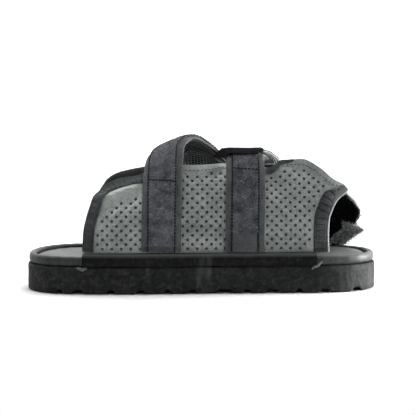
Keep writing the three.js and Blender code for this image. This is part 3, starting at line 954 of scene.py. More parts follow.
OUTSOLE_RUBBER = Finish(
    "black_foam_rubber", "outsole_rubber", Surface.GRAIN, tone(17, 18, 18), tone(40, 42, 41), relief=0.5,
    depth=0.3, rough=(0.8, 0.6), patch=40, wear=0.4, dust=0.3, wear_dust_and_highlight_tone=tone(112, 114, 112), specular=0.1,
)
FOOTBED_VINYL = Finish(
    "grey_footbed_vinyl", "footbed_vinyl", Surface.GRAIN, tone(66, 68, 68), tone(96, 98, 97), relief=0.9,
    depth=0.1, rough=(0.6, 0.45), patch=45, wear=0.2, wear_dust_and_highlight_tone=tone(150, 151, 150), specular=0.4,
)
# The roll's tops get a painted highlight (lying) for the overhead light on them.
EDGE_ROLL_VINYL = Finish(
    "dark_edge_vinyl", "edge_tape", Surface.GRAIN, tone(24, 26, 26), tone(58, 60, 60), relief=0.7,
    depth=0.12, rough=(0.6, 0.45), patch=70, top_highlight=0.6, wear_dust_and_highlight_tone=tone(106, 108, 107), specular=0.2,
)
# The wrap's top roll gets a painted highlight (lying) for the overhead light on it.
WRAP_VINYL = Finish(
    "black_wrap_vinyl", "wrap_vinyl", Surface.GRAIN, tone(7, 8, 9), tone(16, 17, 18), relief=0.9,
    depth=0.07, rough=(0.5, 0.4), patch=30, dust=0.3, top_highlight=0.5, wear_dust_and_highlight_tone=tone(92, 94, 94), specular=0.08,
)
UPPER_VINYL = Finish(
    "grey_perforated_vinyl", "upper_vinyl", Surface.GRAIN, tone(94, 100, 97), tone(152, 157, 154),
    relief=1.1, depth=0.09, rough=(0.5, 0.34), patch=42, wear=0.15, wear_dust_and_highlight_tone=tone(176, 178, 176),
)
LINING_MESH = Finish(
    "black_lining_mesh", "upper_vinyl", Surface.WEAVE, tone(12, 13, 14), tone(30, 31, 33), relief=0.4,
    depth=0.5, rough=(0.98, 0.9), patch=120, specular=0.1,
)
# A lighter copy of the black lining mesh, for the medial side: painted light, so that the punched holes,
# which show this lining in their shade, look dark grey.
LIGHTENED_MEDIAL_LINING = Finish(
    "dark_grey_lining_mesh", "upper_vinyl", Surface.WEAVE, tone(62, 64, 66), tone(96, 98, 99), relief=0.6,
    depth=0.4, rough=(0.98, 0.9), patch=120, specular=0.1,
)
GREY_FLEECE = Finish(
    "grey_fleece", "upper_vinyl", Surface.PILE, tone(84, 86, 87), tone(124, 126, 126), relief=0.5,
    depth=0.7, rough=(0.98, 0.9), wear_dust_and_highlight_tone=tone(186, 187, 186), sheen=0.3, specular=0.2,
)
BINDING_TAPE = Finish(
    "charcoal_binding_tape", "binding_tape", Surface.WEAVE, tone(26, 28, 29), tone(70, 72, 74), relief=0.8,
    depth=0.35, rough=(0.92, 0.78), patch=90, wear=0.3, wear_dust_and_highlight_tone=tone(130, 131, 132), sheen=0.1, specular=0.25,
)
PALE_FACING = Finish(
    "pale_edge_facing", "binding_tape", Surface.GRAIN, tone(104, 108, 107), tone(140, 143, 142),
    relief=1.2, depth=0.08, rough=(0.65, 0.5), patch=90, specular=0.35,
)
# The fold of the medial heel edge, a darker copy of the pale facing; its grey, lighter than the tape beside
# it, is a painted highlight for the rim light that the fold catches.
HIGHLIT_HEEL_FACING = replace(
    PALE_FACING, name="highlit_grey_heel_facing", dark=tone(66, 70, 69), light=tone(88, 91, 90)
)
STRAP_CLOTH = Finish(
    "grey_strap_cloth", "strap_cloth", Surface.WEAVE, tone(48, 51, 52), tone(86, 89, 90), relief=0.8,
    depth=0.3, rough=(0.88, 0.74), patch=110, wear=0.3, wear_dust_and_highlight_tone=tone(160, 162, 163), sheen=0.15, specular=0.3,
)
LOOP_TAPE = Finish(
    "charcoal_loop_tape", "loop_tape", Surface.PILE, tone(31, 32, 36), tone(103, 104, 110), relief=0.5,
    depth=0.6, rough=(0.98, 0.9), patch=130, wear_dust_and_highlight_tone=tone(140, 141, 145), sheen=0.2, specular=0.2,
)
PALE_FIBRE = Finish(
    "pale_stray_fibre", "loop_tape", Surface.PILE, tone(150, 151, 154), tone(210, 211, 213), relief=1.5,
    depth=0.1, rough=(0.9, 0.8),
)
NET_THREAD = Finish(
    "grey_net_thread", "hook_tape", Surface.PILE, tone(112, 113, 115), tone(164, 165, 167), relief=1.5,
    depth=0.1, rough=(0.9, 0.8),
)
BLACK_FLEECE = Finish(
    "black_fleece", "upper_vinyl", Surface.PILE, tone(7, 8, 9), tone(22, 23, 25), relief=0.6, depth=0.3,
    rough=(0.98, 0.9), wear_dust_and_highlight_tone=tone(74, 75, 76), specular=0.1,
)
HOOK_TAPE = Finish(
    "black_hook_tape", "hook_tape", Surface.WEAVE, tone(13, 14, 15), tone(36, 37, 39), relief=0.45,
    depth=0.5, rough=(0.75, 0.55), specular=0.3,
)
SEWING_THREAD = Finish(
    "dark_sewing_thread", "binding_tape", Surface.PILE, tone(10, 11, 13), tone(24, 25, 27), relief=2.5,
    depth=0.1, rough=(0.85, 0.7), wear_dust_and_highlight_tone=tone(50, 50, 52), specular=0.2,
)
STUDIO_PAPER = Finish(
    "pale_studio_paper", "outsole_rubber", Surface.PILE, (0.86, 0.86, 0.86), (0.9, 0.9, 0.9), relief=0.02,
    depth=0.01, rough=(0.95, 0.9), patch=2, wear_dust_and_highlight_tone=(0.9, 0.9, 0.9),
)


def make_object(name: str, skin: Skin, finish: Finish, crease: float) -> bpy.types.Object:
    """Turns a skin into an object.

    Args:
        name: The object's name.
        skin: Its mesh in millimetres.
        finish: Its finish.
        crease: Angle in degrees above which an edge stays sharp.

    Returns:
        The object, linked to the scene.
    """
    mesh = bpy.data.meshes.new(name)
    mesh.from_pydata((skin.points * MM).tolist(), [], skin.faces)
    layer = mesh.uv_layers.new(name="fabric")
    corners = np.array([pair for corners in skin.fabric for pair in corners], dtype=np.float32)
    layer.data.foreach_set("uv", corners.ravel())
    mesh.shade_smooth()
    mesh.set_sharp_from_angle(angle=math.radians(crease))
    mesh.materials.append(finish.material())
    mesh.validate()
    piece = bpy.data.objects.new(name, mesh)
    bpy.context.scene.collection.objects.link(piece)
    return piece


def add_piece(name: str, skin: Skin, finish: Finish, node: str, crease: float = 42) -> bpy.types.Object:
    """Adds a piece of the sandal, which stands for a CAD node.

    Args:
        name: The piece's name.
        skin: Its mesh in millimetres.
        finish: Its finish.
        node: The CAD node that it replaces.
        crease: Angle in degrees above which an edge stays sharp.

    Returns:
        The piece.
    """
    piece = make_object(name, skin, finish, crease)
    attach(piece, "root")
    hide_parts(node)
    log.info("%s: %d faces, in %s", name, len(skin.faces), finish.name)
    return piece


# Sole


class Groove(NamedTuple):
    """A cross groove of the tread: its middle and the width of its mouth."""

    x: float
    mouth: float


@dataclass
class Sole:
    """The foam outsole, the padded insole and the rolled edge round the insole."""

    outsole_top: float = 21.5
    outsole_edge: float = 1.9
    groove_depth: float = 3.0
    groove_floor: float = 0.4
    insole_bottom: float = 21.8
    roll_top: float = 29.5
    roll_inset: float = 1.0
    roll_width: float = 5.5
    pad_hollow: float = 2.0
    pad_step: float = 3.2
    seam_drop: float = 1.9
    swell_reach: float = 3.2
    pucker_height: float = 0.22
    pucker_pitch: float = 8.5
    pucker_reach: float = 6
    heel_rise: float = 2.6
    rubber_ripple: float = 0.12
    steps: int = 880
    grooves: tuple[Groove, ...] = (
        Groove(-111, 6), Groove(-97, 12), Groove(-71, 8), Groove(-48, 8), Groove(-27, 7), Groove(-7, 9),
        Groove(18, 16), Groove(35, 7), Groove(56, 13), Groove(77, 7), Groove(97, 10), Groove(123, 9),
    )

    def build(self) -> None:
        """Builds and dresses the sole's pieces."""
        add_piece("foam_outsole", self.outsole(), OUTSOLE_RUBBER, "outsole")
        pad = add_piece("padded_insole", self.insole(), FOOTBED_VINYL, "insole")
        roll = add_piece("insole_edge_roll", self.edge_roll(), EDGE_ROLL_VINYL, "insole_binding")

    def tread(self, x: Array) -> Array:
        """Height of the underside above the ground at some stations."""
        height = np.zeros_like(x)
        for groove in self.grooves:
            away = np.abs(x - groove.x)
            low, high = groove.mouth * self.groove_floor / 2 - 0.3, groove.mouth / 2 + 0.5
            height = np.maximum(height, self.groove_depth * (1 - smoothstep(away, low, high)))
        return height

    def outsole(self) -> Skin:
        """The outsole: rings up its side, and a grooved underside and a flat top inside them."""
        edge, size = self.outsole_edge, self.steps
        turn = np.linspace(0, np.pi / 2, 5)
        levels = [(edge * (1 - math.sin(a)), edge * (1 - math.cos(a)), 0) for a in turn]
        levels += [(0, 0, share) for share in np.linspace(0.15, 0.85, 7)]
        levels += [(inset, -rise, 1) for inset, rise, _ in levels[:5][::-1]]
        rings = []
        for inset, rise, share in levels:
            flat = FORM.outline(inset, size)
            ground = self.tread(flat[:, 0])
            z = lerp(ground + edge, self.outsole_top - edge, share)
            if share in (0, 1):
                z = (ground if share == 0 else np.full(size, self.outsole_top)) + rise
            rough = self.rubber_ripple * ripple(run_length(flat), z * 2 + 9 * rise, 3.1)
            out = unit(flat - np.roll(flat, 1, axis=0))
            flat = flat + rough[:, None] * np.stack([out[:, 1], -out[:, 0]], axis=1)
            rings.append(np.column_stack([flat, z]))
        points, faces = np.vstack(rings), ring_faces(len(rings), size)
        for ring, first, turned in ((rings[0], 0, True), (rings[-1], (len(rings) - 1) * size, False)):
            fill = self._fill(ring[:, :2], 1.3 if turned else 12.0, 9.0)
            _, triangles = cut_sheet(ring[:, :2], [], fill)
            start = len(points)
            z = self.tread(fill[:, 0]) if turned else np.full(len(fill), self.outsole_top)
            points = np.vstack([points, np.column_stack([fill, z])])
            place = np.concatenate([first + np.arange(size), start + np.arange(len(fill))])
            faces += [tuple(int(place[k]) for k in (t[::-1] if turned else t)) for t in triangles]
        return plan_skin(points, faces)

    @staticmethod
    def _fill(ring: Array, step_x: float, step_y: float) -> Array:
        """Grid points inside a ring, clear of its edge."""
        low, high = ring.min(axis=0), ring.max(axis=0)
        x, y = np.meshgrid(np.arange(low[0], high[0], step_x), np.arange(low[1], high[1], step_y))
        grid = np.column_stack([x.ravel(), y.ravel()])
        closed = np.vstack([ring, ring[:1]])
        grid = grid[inside(grid, ring)]
        return grid[distance_to(grid, closed[::4]) > 1.2]

    def insole(self) -> Skin:
        """The insole: a foam pad that swells inside its seam, with small puckers along the seam."""
        inset = self.roll_inset + self.roll_width - 0.4
        top, seam = self.roll_top - self.pad_hollow, self.roll_top - self.pad_hollow - self.seam_drop
        steps = self.steps // 2
        rings = [(inset, self.insole_bottom + 0.2), (inset, top - 3.2), (inset + 0.5, seam)]
        loops = [np.column_stack([FORM.outline(i, steps), np.full(steps, z)]) for i, z in rings]
        rim = loops[-1][:, :2]
        fill = self._fill(rim, self.pad_step, self.pad_step)
        x, y = fill.T
        _, triangles = cut_sheet(rim, [], fill)
        away = distance_to(fill, np.vstack([rim, rim[:1]]))
        nearest = np.argmin(np.linalg.norm(fill[:, None] - rim[::4], axis=2), axis=1) * 4
        wave = np.sin(run_length(rim)[nearest] / self.pucker_pitch * 2 * np.pi)
        pucker = self.pucker_height * wave * np.exp(-away / self.pucker_reach)
        swell = self.seam_drop * (1 - np.exp(-away / self.swell_reach))
        heel_dent = 0.7 * np.exp(-(((x - 92) / 26) ** 2) - (y / 24) ** 2)
        ball_dent = 0.6 * np.exp(-(((x + 62) / 34) ** 2) - (y / 34) ** 2)
        heel = self.heel_rise * smoothstep(x, 78, 112) * (1 - np.exp(-away / 6))
        z = seam + swell + pucker - (heel_dent + ball_dent) + heel + 0.25 * ripple(x, y, 16)
        points = np.vstack([*loops, np.column_stack([fill, z])])
        last = (len(loops) - 1) * steps
        faces = ring_faces(len(loops), steps) + [tuple(last + k for k in t) for t in triangles]
        _, under = cut_sheet(loops[0][:, :2], [], np.empty((0, 2)))
        return plan_skin(points, faces + [t[::-1] for t in under])

    def edge_roll(self) -> Skin:
        """The rolled edge round the insole, with slight puckers."""
        turn = np.linspace(0, 2 * np.pi, 24, endpoint=False)
        half_width, half_height = self.roll_width / 2, (self.roll_top - self.insole_bottom) / 2
        squareness = 2 / 2.7
        across = np.sign(np.cos(turn)) * np.abs(np.cos(turn)) ** squareness
        up = np.sign(np.sin(turn)) * np.abs(np.sin(turn)) ** squareness
        steps = self.steps // 2
        run = run_length(FORM.outline(self.roll_inset, steps))
        swell = 1 + 0.025 * np.sin(run / 11 * 2 * np.pi + 1.5 * np.sin(run / 37))
        loops = []
        for a, u in zip(across, up):
            flat = FORM.outline(self.roll_inset + half_width, steps)
            edge = FORM.outline(self.roll_inset + half_width - a * half_width, steps)
            place = flat + (edge - flat) * swell[:, None]
            z = self.insole_bottom + half_height * (1 + u * swell)
            loops.append(np.column_stack([place, np.maximum(z, self.outsole_top + 0.1)]))
        return loft(np.stack(loops, axis=1), closed=True)


# Side wraps


class Tuck(NamedTuple):
    """A rolled corner of cloth: its two ends by station and height, and its radius."""

    start: tuple[float, float]
    end: tuple[float, float]
    radius: float


@dataclass
class SideWrap:
    """The glossy vinyl that wraps the insole's edge below one side of the upper, with its tucked ends."""

    pattern: SidePattern
    face_inset: float = -0.9
    bottom: float = 21.9
    top: float = 31.4
    inner_inset: float = 10.4
    roll: float = 3.8
    thickness: float = 1.3
    steps: int = 640

    def build(self) -> None:
        """Builds and dresses the wrap and its tucked ends."""
        label = self.pattern.side.label
        node = f"side_wrap_{label}"
        loops = self.loops()
        wrap = add_piece(f"wrap_{label}", loft(loops), WRAP_VINYL, node)
        reach = self.pattern.wrap[1]
        tucks = {
            "front": Tuck((-97.2, 20.4), (-89.4, 19.8), 1.25),
            "rear": Tuck((reach - 4.6, 19.2), (reach + 4.0, 25.0), 0.95),
        }
        for name, tuck in tucks.items():
            skin = self.tuck(tuck)
            piece = add_piece(f"wrap_tuck_{name}_{label}", skin, FOOTBED_VINYL, node)
            area = max(skin.half_surface(), 3.05e-5)

    def section(self) -> tuple[Array, Array]:
        """Insets and heights of the wrap's section: the outer skin up and in, then the inner skin back."""
        turn = np.linspace(np.pi, np.pi / 2, 9)
        skins = []
        for depth in (0.0, self.thickness):
            radius = self.roll - depth
            centre = (self.face_inset + self.roll, self.top - self.roll)
            arc = np.column_stack([centre[0] + radius * np.cos(turn), centre[1] + radius * np.sin(turn)])
            rise = np.linspace(self.bottom, centre[1], 6)[:-1]
            face = np.column_stack([np.full(5, self.face_inset + depth), rise])
            run = np.linspace(centre[0], self.inner_inset, 5)[1:]
            flange = np.column_stack([run, np.full(4, self.top - depth)])
            skins.append(np.vstack([face, arc, flange]))
        both = np.vstack([skins[0], skins[1][::-1]])
        return both[:, 0], both[:, 1]

    def loops(self) -> Array:
        """The wrap's sections along the sole's edge."""
        sign = self.pattern.side.value
        edge = FORM.outline(0, self.steps)
        low, high = self.pattern.wrap
        chosen = np.where((edge[:, 1] * sign > 0) & (edge[:, 0] >= low) & (edge[:, 0] <= high))[0]
        chosen = chosen[np.argsort(edge[chosen, 0])]
        run = run_length(edge[chosen])
        wave = ripple(run, run * 0.3, 9)
        rows = []
        out = unit(edge[chosen] - FORM.outline(4, self.steps)[chosen])
        for inset, z in zip(*self.section()):
            flat = FORM.outline(inset, self.steps)[chosen]
            low_share = np.clip((self.top - z) / (self.top - self.bottom), 0, 1)
            bulge = 0.28 * wave * (0.4 + 0.6 * low_share)
            sag = 0.25 * np.sin(run / 13) * low_share + 0.18 * wave * (1 - low_share)
            rows.append(np.column_stack([flat + out * bulge[:, None], z + sag]))
        return np.stack(rows, axis=1)

    def tuck(self, tuck: Tuck) -> Skin:
        """The rolled corner of cloth at an end of the wrap, lying on the outsole's side."""
        sign = self.pattern.side.value
        share = np.linspace(0, 1, 14)
        x = lerp(tuck.start[0], tuck.end[0], share)
        z = lerp(tuck.start[1], tuck.end[1], share) + 0.5 * np.sin(share * 9)
        edge = FORM.outline(self.face_inset - 0.5, self.steps)
        edge = edge[edge[:, 1] * sign > 0]
        edge = edge[np.argsort(edge[:, 0])]
        y = np.interp(x, edge[:, 0], edge[:, 1])
        centre = np.column_stack([x, y, z])
        along = unit(np.gradient(centre, axis=0))
        side = unit(np.cross(along, [0.0, sign, 0.0]))
        out = np.cross(side, along)
        radius = tuck.radius * (0.35 + 0.65 * np.sin(np.linspace(0.12, 0.9, 14) * np.pi))
        radius = radius * (1 + 0.18 * np.sin(share * 23))
        turn = np.arange(12) * 2 * np.pi / 12
        rings = [centre + (np.cos(a) * side + 0.7 * np.sin(a) * out) * radius[:, None] for a in turn]
        return loft(np.stack(rings, axis=1))


# Upper


class Crease(NamedTuple):
    """A soft ridge or dent of the cloth: its line's ends by station and climb, its reach and its height."""

    start: tuple[float, float]
    end: tuple[float, float]
    reach: float
    height: float


CREASES = (
    Crease((-82, 41), (-47, 53), 3.4, 3.2),
    Crease((-80, 50), (-50, 62), 3.4, -1.6),
    Crease((-78, 32), (-52, 40), 3.6, -1.0),
    Crease((-76, 12.5), (-56, 14.5), 6.0, -2.0),
    Crease((-12, 24), (17, 19.5), 4.4, -2.2),
    Crease((-8, 38), (15, 41), 9.0, 1.6),
    Crease((-8, 9), (15, 8), 5.5, 1.2),
    Crease((-10, 58), (14, 63), 4.0, -1.2),
    Crease((53, 62), (74, 40), 5.5, -2.2),
    Crease((56, 40), (72, 26), 5.0, 1.3),
    Crease((70, 70), (92, 60), 5.0, -1.2),
    Crease((74, 24), (84, 18), 11.0, 1.6),
    Crease((52, 14), (66, 12), 5.0, -1.4),
)


class Edge(NamedTuple):
    """An edge of a side: its evenly spaced spots, the directions into the panel, and the distance run."""

    path: Spots
    inward: Array
    run: Array

    def reach(self, distance: Array) -> Spots:
        """The spots at a distance from the edge."""
        return FORM.walk(self.path, self.inward, distance)

    def pick(self, index: Array) -> "Edge":
        """The edge at some indices."""
        return Edge(self.path.pick(index), self.inward[index], self.run[index])


@dataclass
class UpperSide:
    """One side of the upper: perforated vinyl over a dark lining, hemmed on top and bound with tape."""

    pattern: SidePattern
    wall: float = 2.6
    lining: float = 1.4
    vinyl_inner: float = 1.5
    hole_radius: float = 1.22
    hole_pitch: tuple[float, float] = (7.4, 7.1)
    hole_sides: int = 12
    hole_lip: float = 1.55
    hole_dish: float = 0.22
    row_lift: float = 0.0022
    row_lift_from: float = 52
    plain_start: tuple[float, float] = (-84, 31)
    plain_slope: float = 0.375
    plain_end: float = -47
    mesh_step: float = 2.6
    tuft_count: int = 2400
    tuft_seed: int = 31
    strap_press: tuple[float, float] = (13, 20)
    base_margin: float = 3.2
    hem_width: float = 5.2
    front_tape: float = 8.0
    tape_thickness: float = 0.8
    tape_gap: float = 0.55
    tape_step: float = 0.75
    tape_stitch: float = 3.4
    hem_stitch: float = 3.2
    rib_pitch: float = 4.6
    thread_radius: float = 0.26

    def build(self) -> None:
        """Builds and dresses the side's pieces."""
        label = self.pattern.side.label
        node = f"upper_{label}"
        skin, area, flat = self.vinyl()
        vinyl = add_piece(f"vinyl_{label}", skin, UPPER_VINYL, node, crease=50)
        # The medial side takes the lighter copy of the lining, painted light seen through its holes.
        cloth = LIGHTENED_MEDIAL_LINING if self.pattern.side is Side.MEDIAL else LINING_MESH
        lining = add_piece(f"lining_{label}", self.lining_skin(), cloth, node)
        if self.pattern.side is Side.LATERAL:
            add_piece("lining_net", self.lining_net(), NET_THREAD, node)
            add_piece("heel_tufts", self.heel_tufts(), BLACK_FLEECE, node)
            add_piece("tab_piping", self.tab_piping(), PALE_FACING, node)
        self.build_hem(label, node)
        self.build_tapes(label)

    def swell(self, x: Array, climb: Array) -> Array:
        """How far the cloth stands out from the form: waves and creases, pressed flat under the straps."""
        flat = np.column_stack([x, climb])
        out = 0.3 * ripple(x, climb, 15) + 0.14 * ripple(x, climb, 6)
        for crease in CREASES:
            away = distance_to(flat, np.array([crease.start, crease.end]))
            out = out + crease.height * np.exp(-((away / crease.reach) ** 2))
        for strap in self.pattern.straps:
            out = out * smoothstep(np.abs(x - strap), *self.strap_press)
        return out

    def on_panel(self, spots: Spots, offset: Array | float) -> Array:
        """Points at an offset over the form, carried by the panel's waves."""
        return FORM.over(spots, offset + self.swell(spots.x, FORM.climb_of(self.pattern.side, spots)))

    def edges(self) -> dict[str, Array]:
        """The side's edges in flat cloth coordinates: station, and distance climbed from the sole edge."""
        count = 110
        share = np.linspace(0, 1, count)
        back, none, full = share[::-1], np.zeros(count), np.ones(count)
        lines = {"base": (share, none), "rear": (full, share), "top": (back, full), "front": (none, back)}
        found = {}
        for name, (s, t) in lines.items():
            spots = FORM.panel_spots(self.pattern, s, t)
            found[name] = np.column_stack([spots.x, FORM.climb_of(self.pattern.side, spots)])
        return found

    def hole_centres(self, edges: dict[str, Array], outline: Array) -> Array:
        """Places of the punched holes: staggered rows that lift towards the top of the heel."""
        pitch_x, pitch_up = self.hole_pitch
        low, high = outline.min(axis=0), outline.max(axis=0)
        rows = []
        for k, row in enumerate(np.arange(low[1] + self.base_margin, high[1], pitch_up / 2)):
            x = np.arange(low[0], high[0], pitch_x) + (k % 2) * pitch_x / 2
            lift = self.row_lift * np.maximum(0, x - self.row_lift_from) ** 2 * (row / 60 - 0.25)
            rows.append(np.column_stack([x, row + lift]))
        grid = np.vstack(rows)
        margins = {
            "base": self.base_margin - 0.4,
            "front": self.front_tape + 2.2,
            "top": self.hem_width + 1.6,
            "rear": self.pattern.rear_tape + 2.2,
        }
        keep = inside(grid, outline)
        for name, margin in margins.items():
            keep &= distance_to(grid, edges[name]) > margin
        plain_x, plain_climb = self.plain_start
        plain = grid[:, 1] > plain_climb + self.plain_slope * (grid[:, 0] - plain_x)
        keep &= ~(plain & (grid[:, 0] < self.plain_end))
        return grid[keep]

    def vinyl(self) -> tuple[Skin, float, tuple[float, float]]:
        """The perforated vinyl.

        Returns:
            Its skin, its flat area in square metres, and the width and length it was cut from in metres.
        """
        edges = self.edges()
        outline = np.vstack([line[:-1] for line in edges.values()])
        centres = self.hole_centres(edges, outline)
        holes, lips = (
            [ring_of(centre, radius, self.hole_sides) for centre in centres]
            for radius in (self.hole_radius, self.hole_radius * self.hole_lip)
        )
        low, high = outline.min(axis=0), outline.max(axis=0)
        x, y = np.meshgrid(*(np.arange(low[k], high[k], self.mesh_step) for k in (0, 1)))
        grid = np.column_stack([x.ravel(), y.ravel()])
        grid = grid[inside(grid, outline)]
        grid = grid[distance_to(grid, np.vstack([outline, outline[:1]])) > 1.5]
        from_hole = np.linalg.norm(grid[:, None] - centres, axis=2).min(axis=1)
        fill = np.vstack([*lips, grid[from_hole > 2.4]])
        flat, triangles = cut_sheet(outline, holes, fill)
        spots = FORM.spots_at(self.pattern.side, flat[:, 0], flat[:, 1])
        swell = self.swell(flat[:, 0], flat[:, 1])
        dish = np.zeros(len(flat))
        first = len(outline)
        dish[first : first + len(centres) * self.hole_sides] = self.hole_dish
        top = FORM.over(spots, self.wall + swell - dish)
        bottom = FORM.over(spots, self.vinyl_inner + swell)
        a, b, c = (flat[[t[k] for t in triangles]] for k in range(3))
        area = np.abs(np.cross(b - a, c - a)).sum() / 2 * MM * MM
        log.info("%s side: %d punched holes", self.pattern.side.label, len(centres))
        return shell(top, bottom, triangles, flat), float(area), tuple((high - low) * MM)

    def lining_skin(self) -> Skin:
        """The lining, a little smaller than the vinyl."""
        rows, columns = 90, 40
        s, t = np.meshgrid(np.linspace(0.004, 0.996, rows), np.linspace(0.0, 0.995, columns), indexing="ij")
        spots = FORM.panel_spots(self.pattern, s.ravel(), t.ravel())
        climb = FORM.climb_of(self.pattern.side, spots)
        swell = self.swell(spots.x, climb)
        flat = np.column_stack([spots.x, climb])
        top = FORM.over(spots, self.lining + swell)
        return shell(top, FORM.over(spots, swell), grid_faces(rows, columns), flat)

    def lining_net(self) -> Skin:
        """The open net of threads over the lining under the front strap."""
        s, t = np.meshgrid(np.linspace(0.23, 0.56, 27), np.linspace(0.66, 0.985, 15), indexing="ij")
        spots = FORM.panel_spots(self.pattern, s.ravel(), t.ravel())
        grid = (*s.shape, 3)
        return net(self.on_panel(spots, -0.1).reshape(grid), -FORM.normal(spots).reshape(grid), 0.42)

    def tab_piping(self) -> Skin:
        """The thin cord along the edge of the lateral tab under the front strap."""
        edge = self.edge(np.linspace(0.36, 0.56, 60), np.ones(60), 0.8)
        ups = FORM.normal(edge.path)[None]
        centres = self.on_panel(edge.path, 0.7)[None]
        ways = unit(np.gradient(centres, axis=1))
        return threads(centres, np.cross(ways, ups), ups, 0.62, 8)

    def heel_tufts(self) -> Skin:
        """Black fleece loops inside the lateral heel, thickest along its edge."""
        rng = np.random.default_rng(self.tuft_seed)
        count = self.tuft_count
        t = rng.uniform(0.04, 0.93, count)
        last = 1.0 - 0.022 * smoothstep(t, 0.62, 0.7) - 0.062 * (1 - smoothstep(t, 0.3, 0.42))
        s = last - 0.16 * rng.uniform(0, 1, count) ** 1.6
        spots = FORM.panel_spots(self.pattern, s, t)
        ups = -FORM.normal(spots)
        ways = unit(np.cross(ups, rng.normal(size=(count, 3))))
        edge = smoothstep(s, 0.94, 1.0)
        ups = unit(ups + np.array([0.9, 0, 0]) * edge[:, None] + 0.35 * rng.normal(size=(count, 3)))
        height = rng.uniform(1.0, 2.2, count) + 1.2 * edge * rng.uniform(0, 1, count)
        return tufts(self.on_panel(spots, 0.0), ups, ways, height, 0.34)

    def edge(self, s: Array, t: Array, spacing: float) -> Edge:
        """An edge of the side through some places of its pattern."""
        path = FORM.evenly(FORM.panel_spots(self.pattern, s, t), spacing)
        points = FORM.point(path)
        along = unit(np.gradient(points, axis=0))
        inward = unit(np.cross(FORM.normal(path), along))
        middle = FORM.point(FORM.panel_spots(self.pattern, np.array([0.45]), np.array([0.45])))
        if ((middle - points) * inward).sum() < 0:
            inward = -inward
        kernel = np.array([1, 2, 3, 2, 1]) / 9
        padded = np.concatenate([inward[:1], inward[:1], inward, inward[-1:], inward[-1:]])
        smooth = np.stack([np.convolve(padded[:, k], kernel, "valid") for k in range(3)], axis=1)
        return Edge(path, unit(smooth), run_length(points))

    def puckers(self, edge: Edge) -> Array:
        """Small puckers along an edge, from 0 between two to 1 on each."""
        return np.abs(np.cos(edge.run / self.rib_pitch * np.pi)) ** 0.6

    def folded_tape(
        self, edge: Edge, widths: tuple[Array, Array], gap: float, thickness: float, rib: float
    ) -> Array:
        """Sections of a tape folded over an edge.

        Args:
            edge: The edge.
            widths: Widths of the outer and the inner leaf along the edge.
            gap: Clearance between the leaves and the panel.
            thickness: The tape's thickness.
            rib: Height of the small puckers along the tape.

        Returns:
            The sections, the outer skin first and the inner skin back.
        """
        pucker = rib * (self.puckers(edge) - 0.6)
        turn = np.linspace(np.pi / 2, -np.pi / 2, 9)
        leaf = np.linspace(1, 0.06, 7)
        skins = []
        for depth in (thickness, 0.0):
            radius = self.wall / 2 + gap + depth
            section = [(share * widths[0], radius, math.sin(share * np.pi)) for share in leaf]
            bulge = np.full_like(edge.run, 0.25 + depth * 1.1)
            section += [(-bulge * math.cos(a), radius * math.sin(a), 0.3) for a in turn]
            section += [(share * widths[1], -radius, 0.0) for share in leaf[::-1]]
            skins.append(section if depth else section[::-1])
        loops = []
        for reach, offset, puff in [*skins[0], *skins[1]]:
            lift = self.wall / 2 + offset + puff * (pucker + 0.12)
            loops.append(self.on_panel(edge.reach(reach), lift))
        return np.stack(loops, axis=1)

    def laid_tape(self, edge: Edge, near: Array, far: Array, rib: float, puff: float) -> Array:
        """Sections of a tape laid on the panel.

        Args:
            edge: The edge along which the tape runs.
            near: Distance of the tape's near side from the edge.
            far: Distance of its far side.
            rib: Depth of the puckers across the tape.
            puff: Thickness of the tape at its middle.

        Returns:
            The sections, the upper skin first and the under skin back.
        """
        pucker = rib * (self.puckers(edge) - 1)
        low = self.wall + 0.05
        top, bottom = [], []
        for u in np.linspace(0, 1, 11):
            spots = edge.reach(lerp(near, far, u))
            full = (1 - abs(2 * u - 1) ** 6) ** 0.5
            top.append(self.on_panel(spots, low + puff * (0.35 + 0.65 * full) + pucker * full))
            bottom.append(self.on_panel(spots, low))
        return np.stack([*top, *bottom[::-1]], axis=1)

    def seam(self, edge: Edge, reach: Array, offset: float, pitch: float) -> Skin:
        """A row of stitches along a tape."""
        spots = edge.reach(reach)
        points, normals = self.on_panel(spots, offset), FORM.normal(spots)
        return stitch_row(points, normals, pitch, pitch * 0.72, self.thread_radius)

    def ladder(self, edge: Edge, near: Array, far: Array, offset: float) -> Skin:
        """Threads across a tape, one in each of its puckers.

        Args:
            edge: The edge along which the tape runs.
            near: Distance of the threads' near ends from the edge.
            far: Distance of their far ends.
            offset: Height of the threads over the foot form.

        Returns:
            The threads in one skin.
        """
        at = np.arange(0.5, edge.run[-1] / self.rib_pitch, 1.0) * self.rib_pitch
        pick = np.searchsorted(edge.run, at)
        shares = np.linspace(0, 1, 5)
        rows = [self.on_panel(edge.reach(lerp(near, far, u)), offset)[pick] for u in shares]
        centres = np.stack(rows, axis=1)
        ups = np.repeat(FORM.normal(edge.path)[pick][:, None], len(shares), axis=1)
        ways = unit(np.gradient(centres, axis=1))
        return threads(centres, np.cross(ways, ups), ups, self.thread_radius, 6)

    def build_hem(self, label: str, node: str) -> None:
        """Builds the folded vinyl hem along the top edge."""
        edge = self.edge(np.linspace(0.15, 0.996, 200), np.ones(200), 1.6)
        taper = np.clip((1 - np.linspace(0, 1, len(edge.run))) / 0.06, 0.3, 1)
        width = self.hem_width * taper
        if self.pattern.side is Side.MEDIAL:
            loops = self.folded_tape(edge, (width, 4.0 * taper), 0.05, 0.42, 0.04)
        else:
            loops = self.laid_tape(edge, np.full_like(taper, 0.2), width, 0.04, 0.42)
        self._fold(f"hem_{label}", node, edge, loops, UPPER_VINYL)
        seam = self.seam(edge, width - 1.0 * taper, self.wall + 0.5, self.hem_stitch)
        add_piece(f"hem_stitches_{label}", seam, SEWING_THREAD, node)

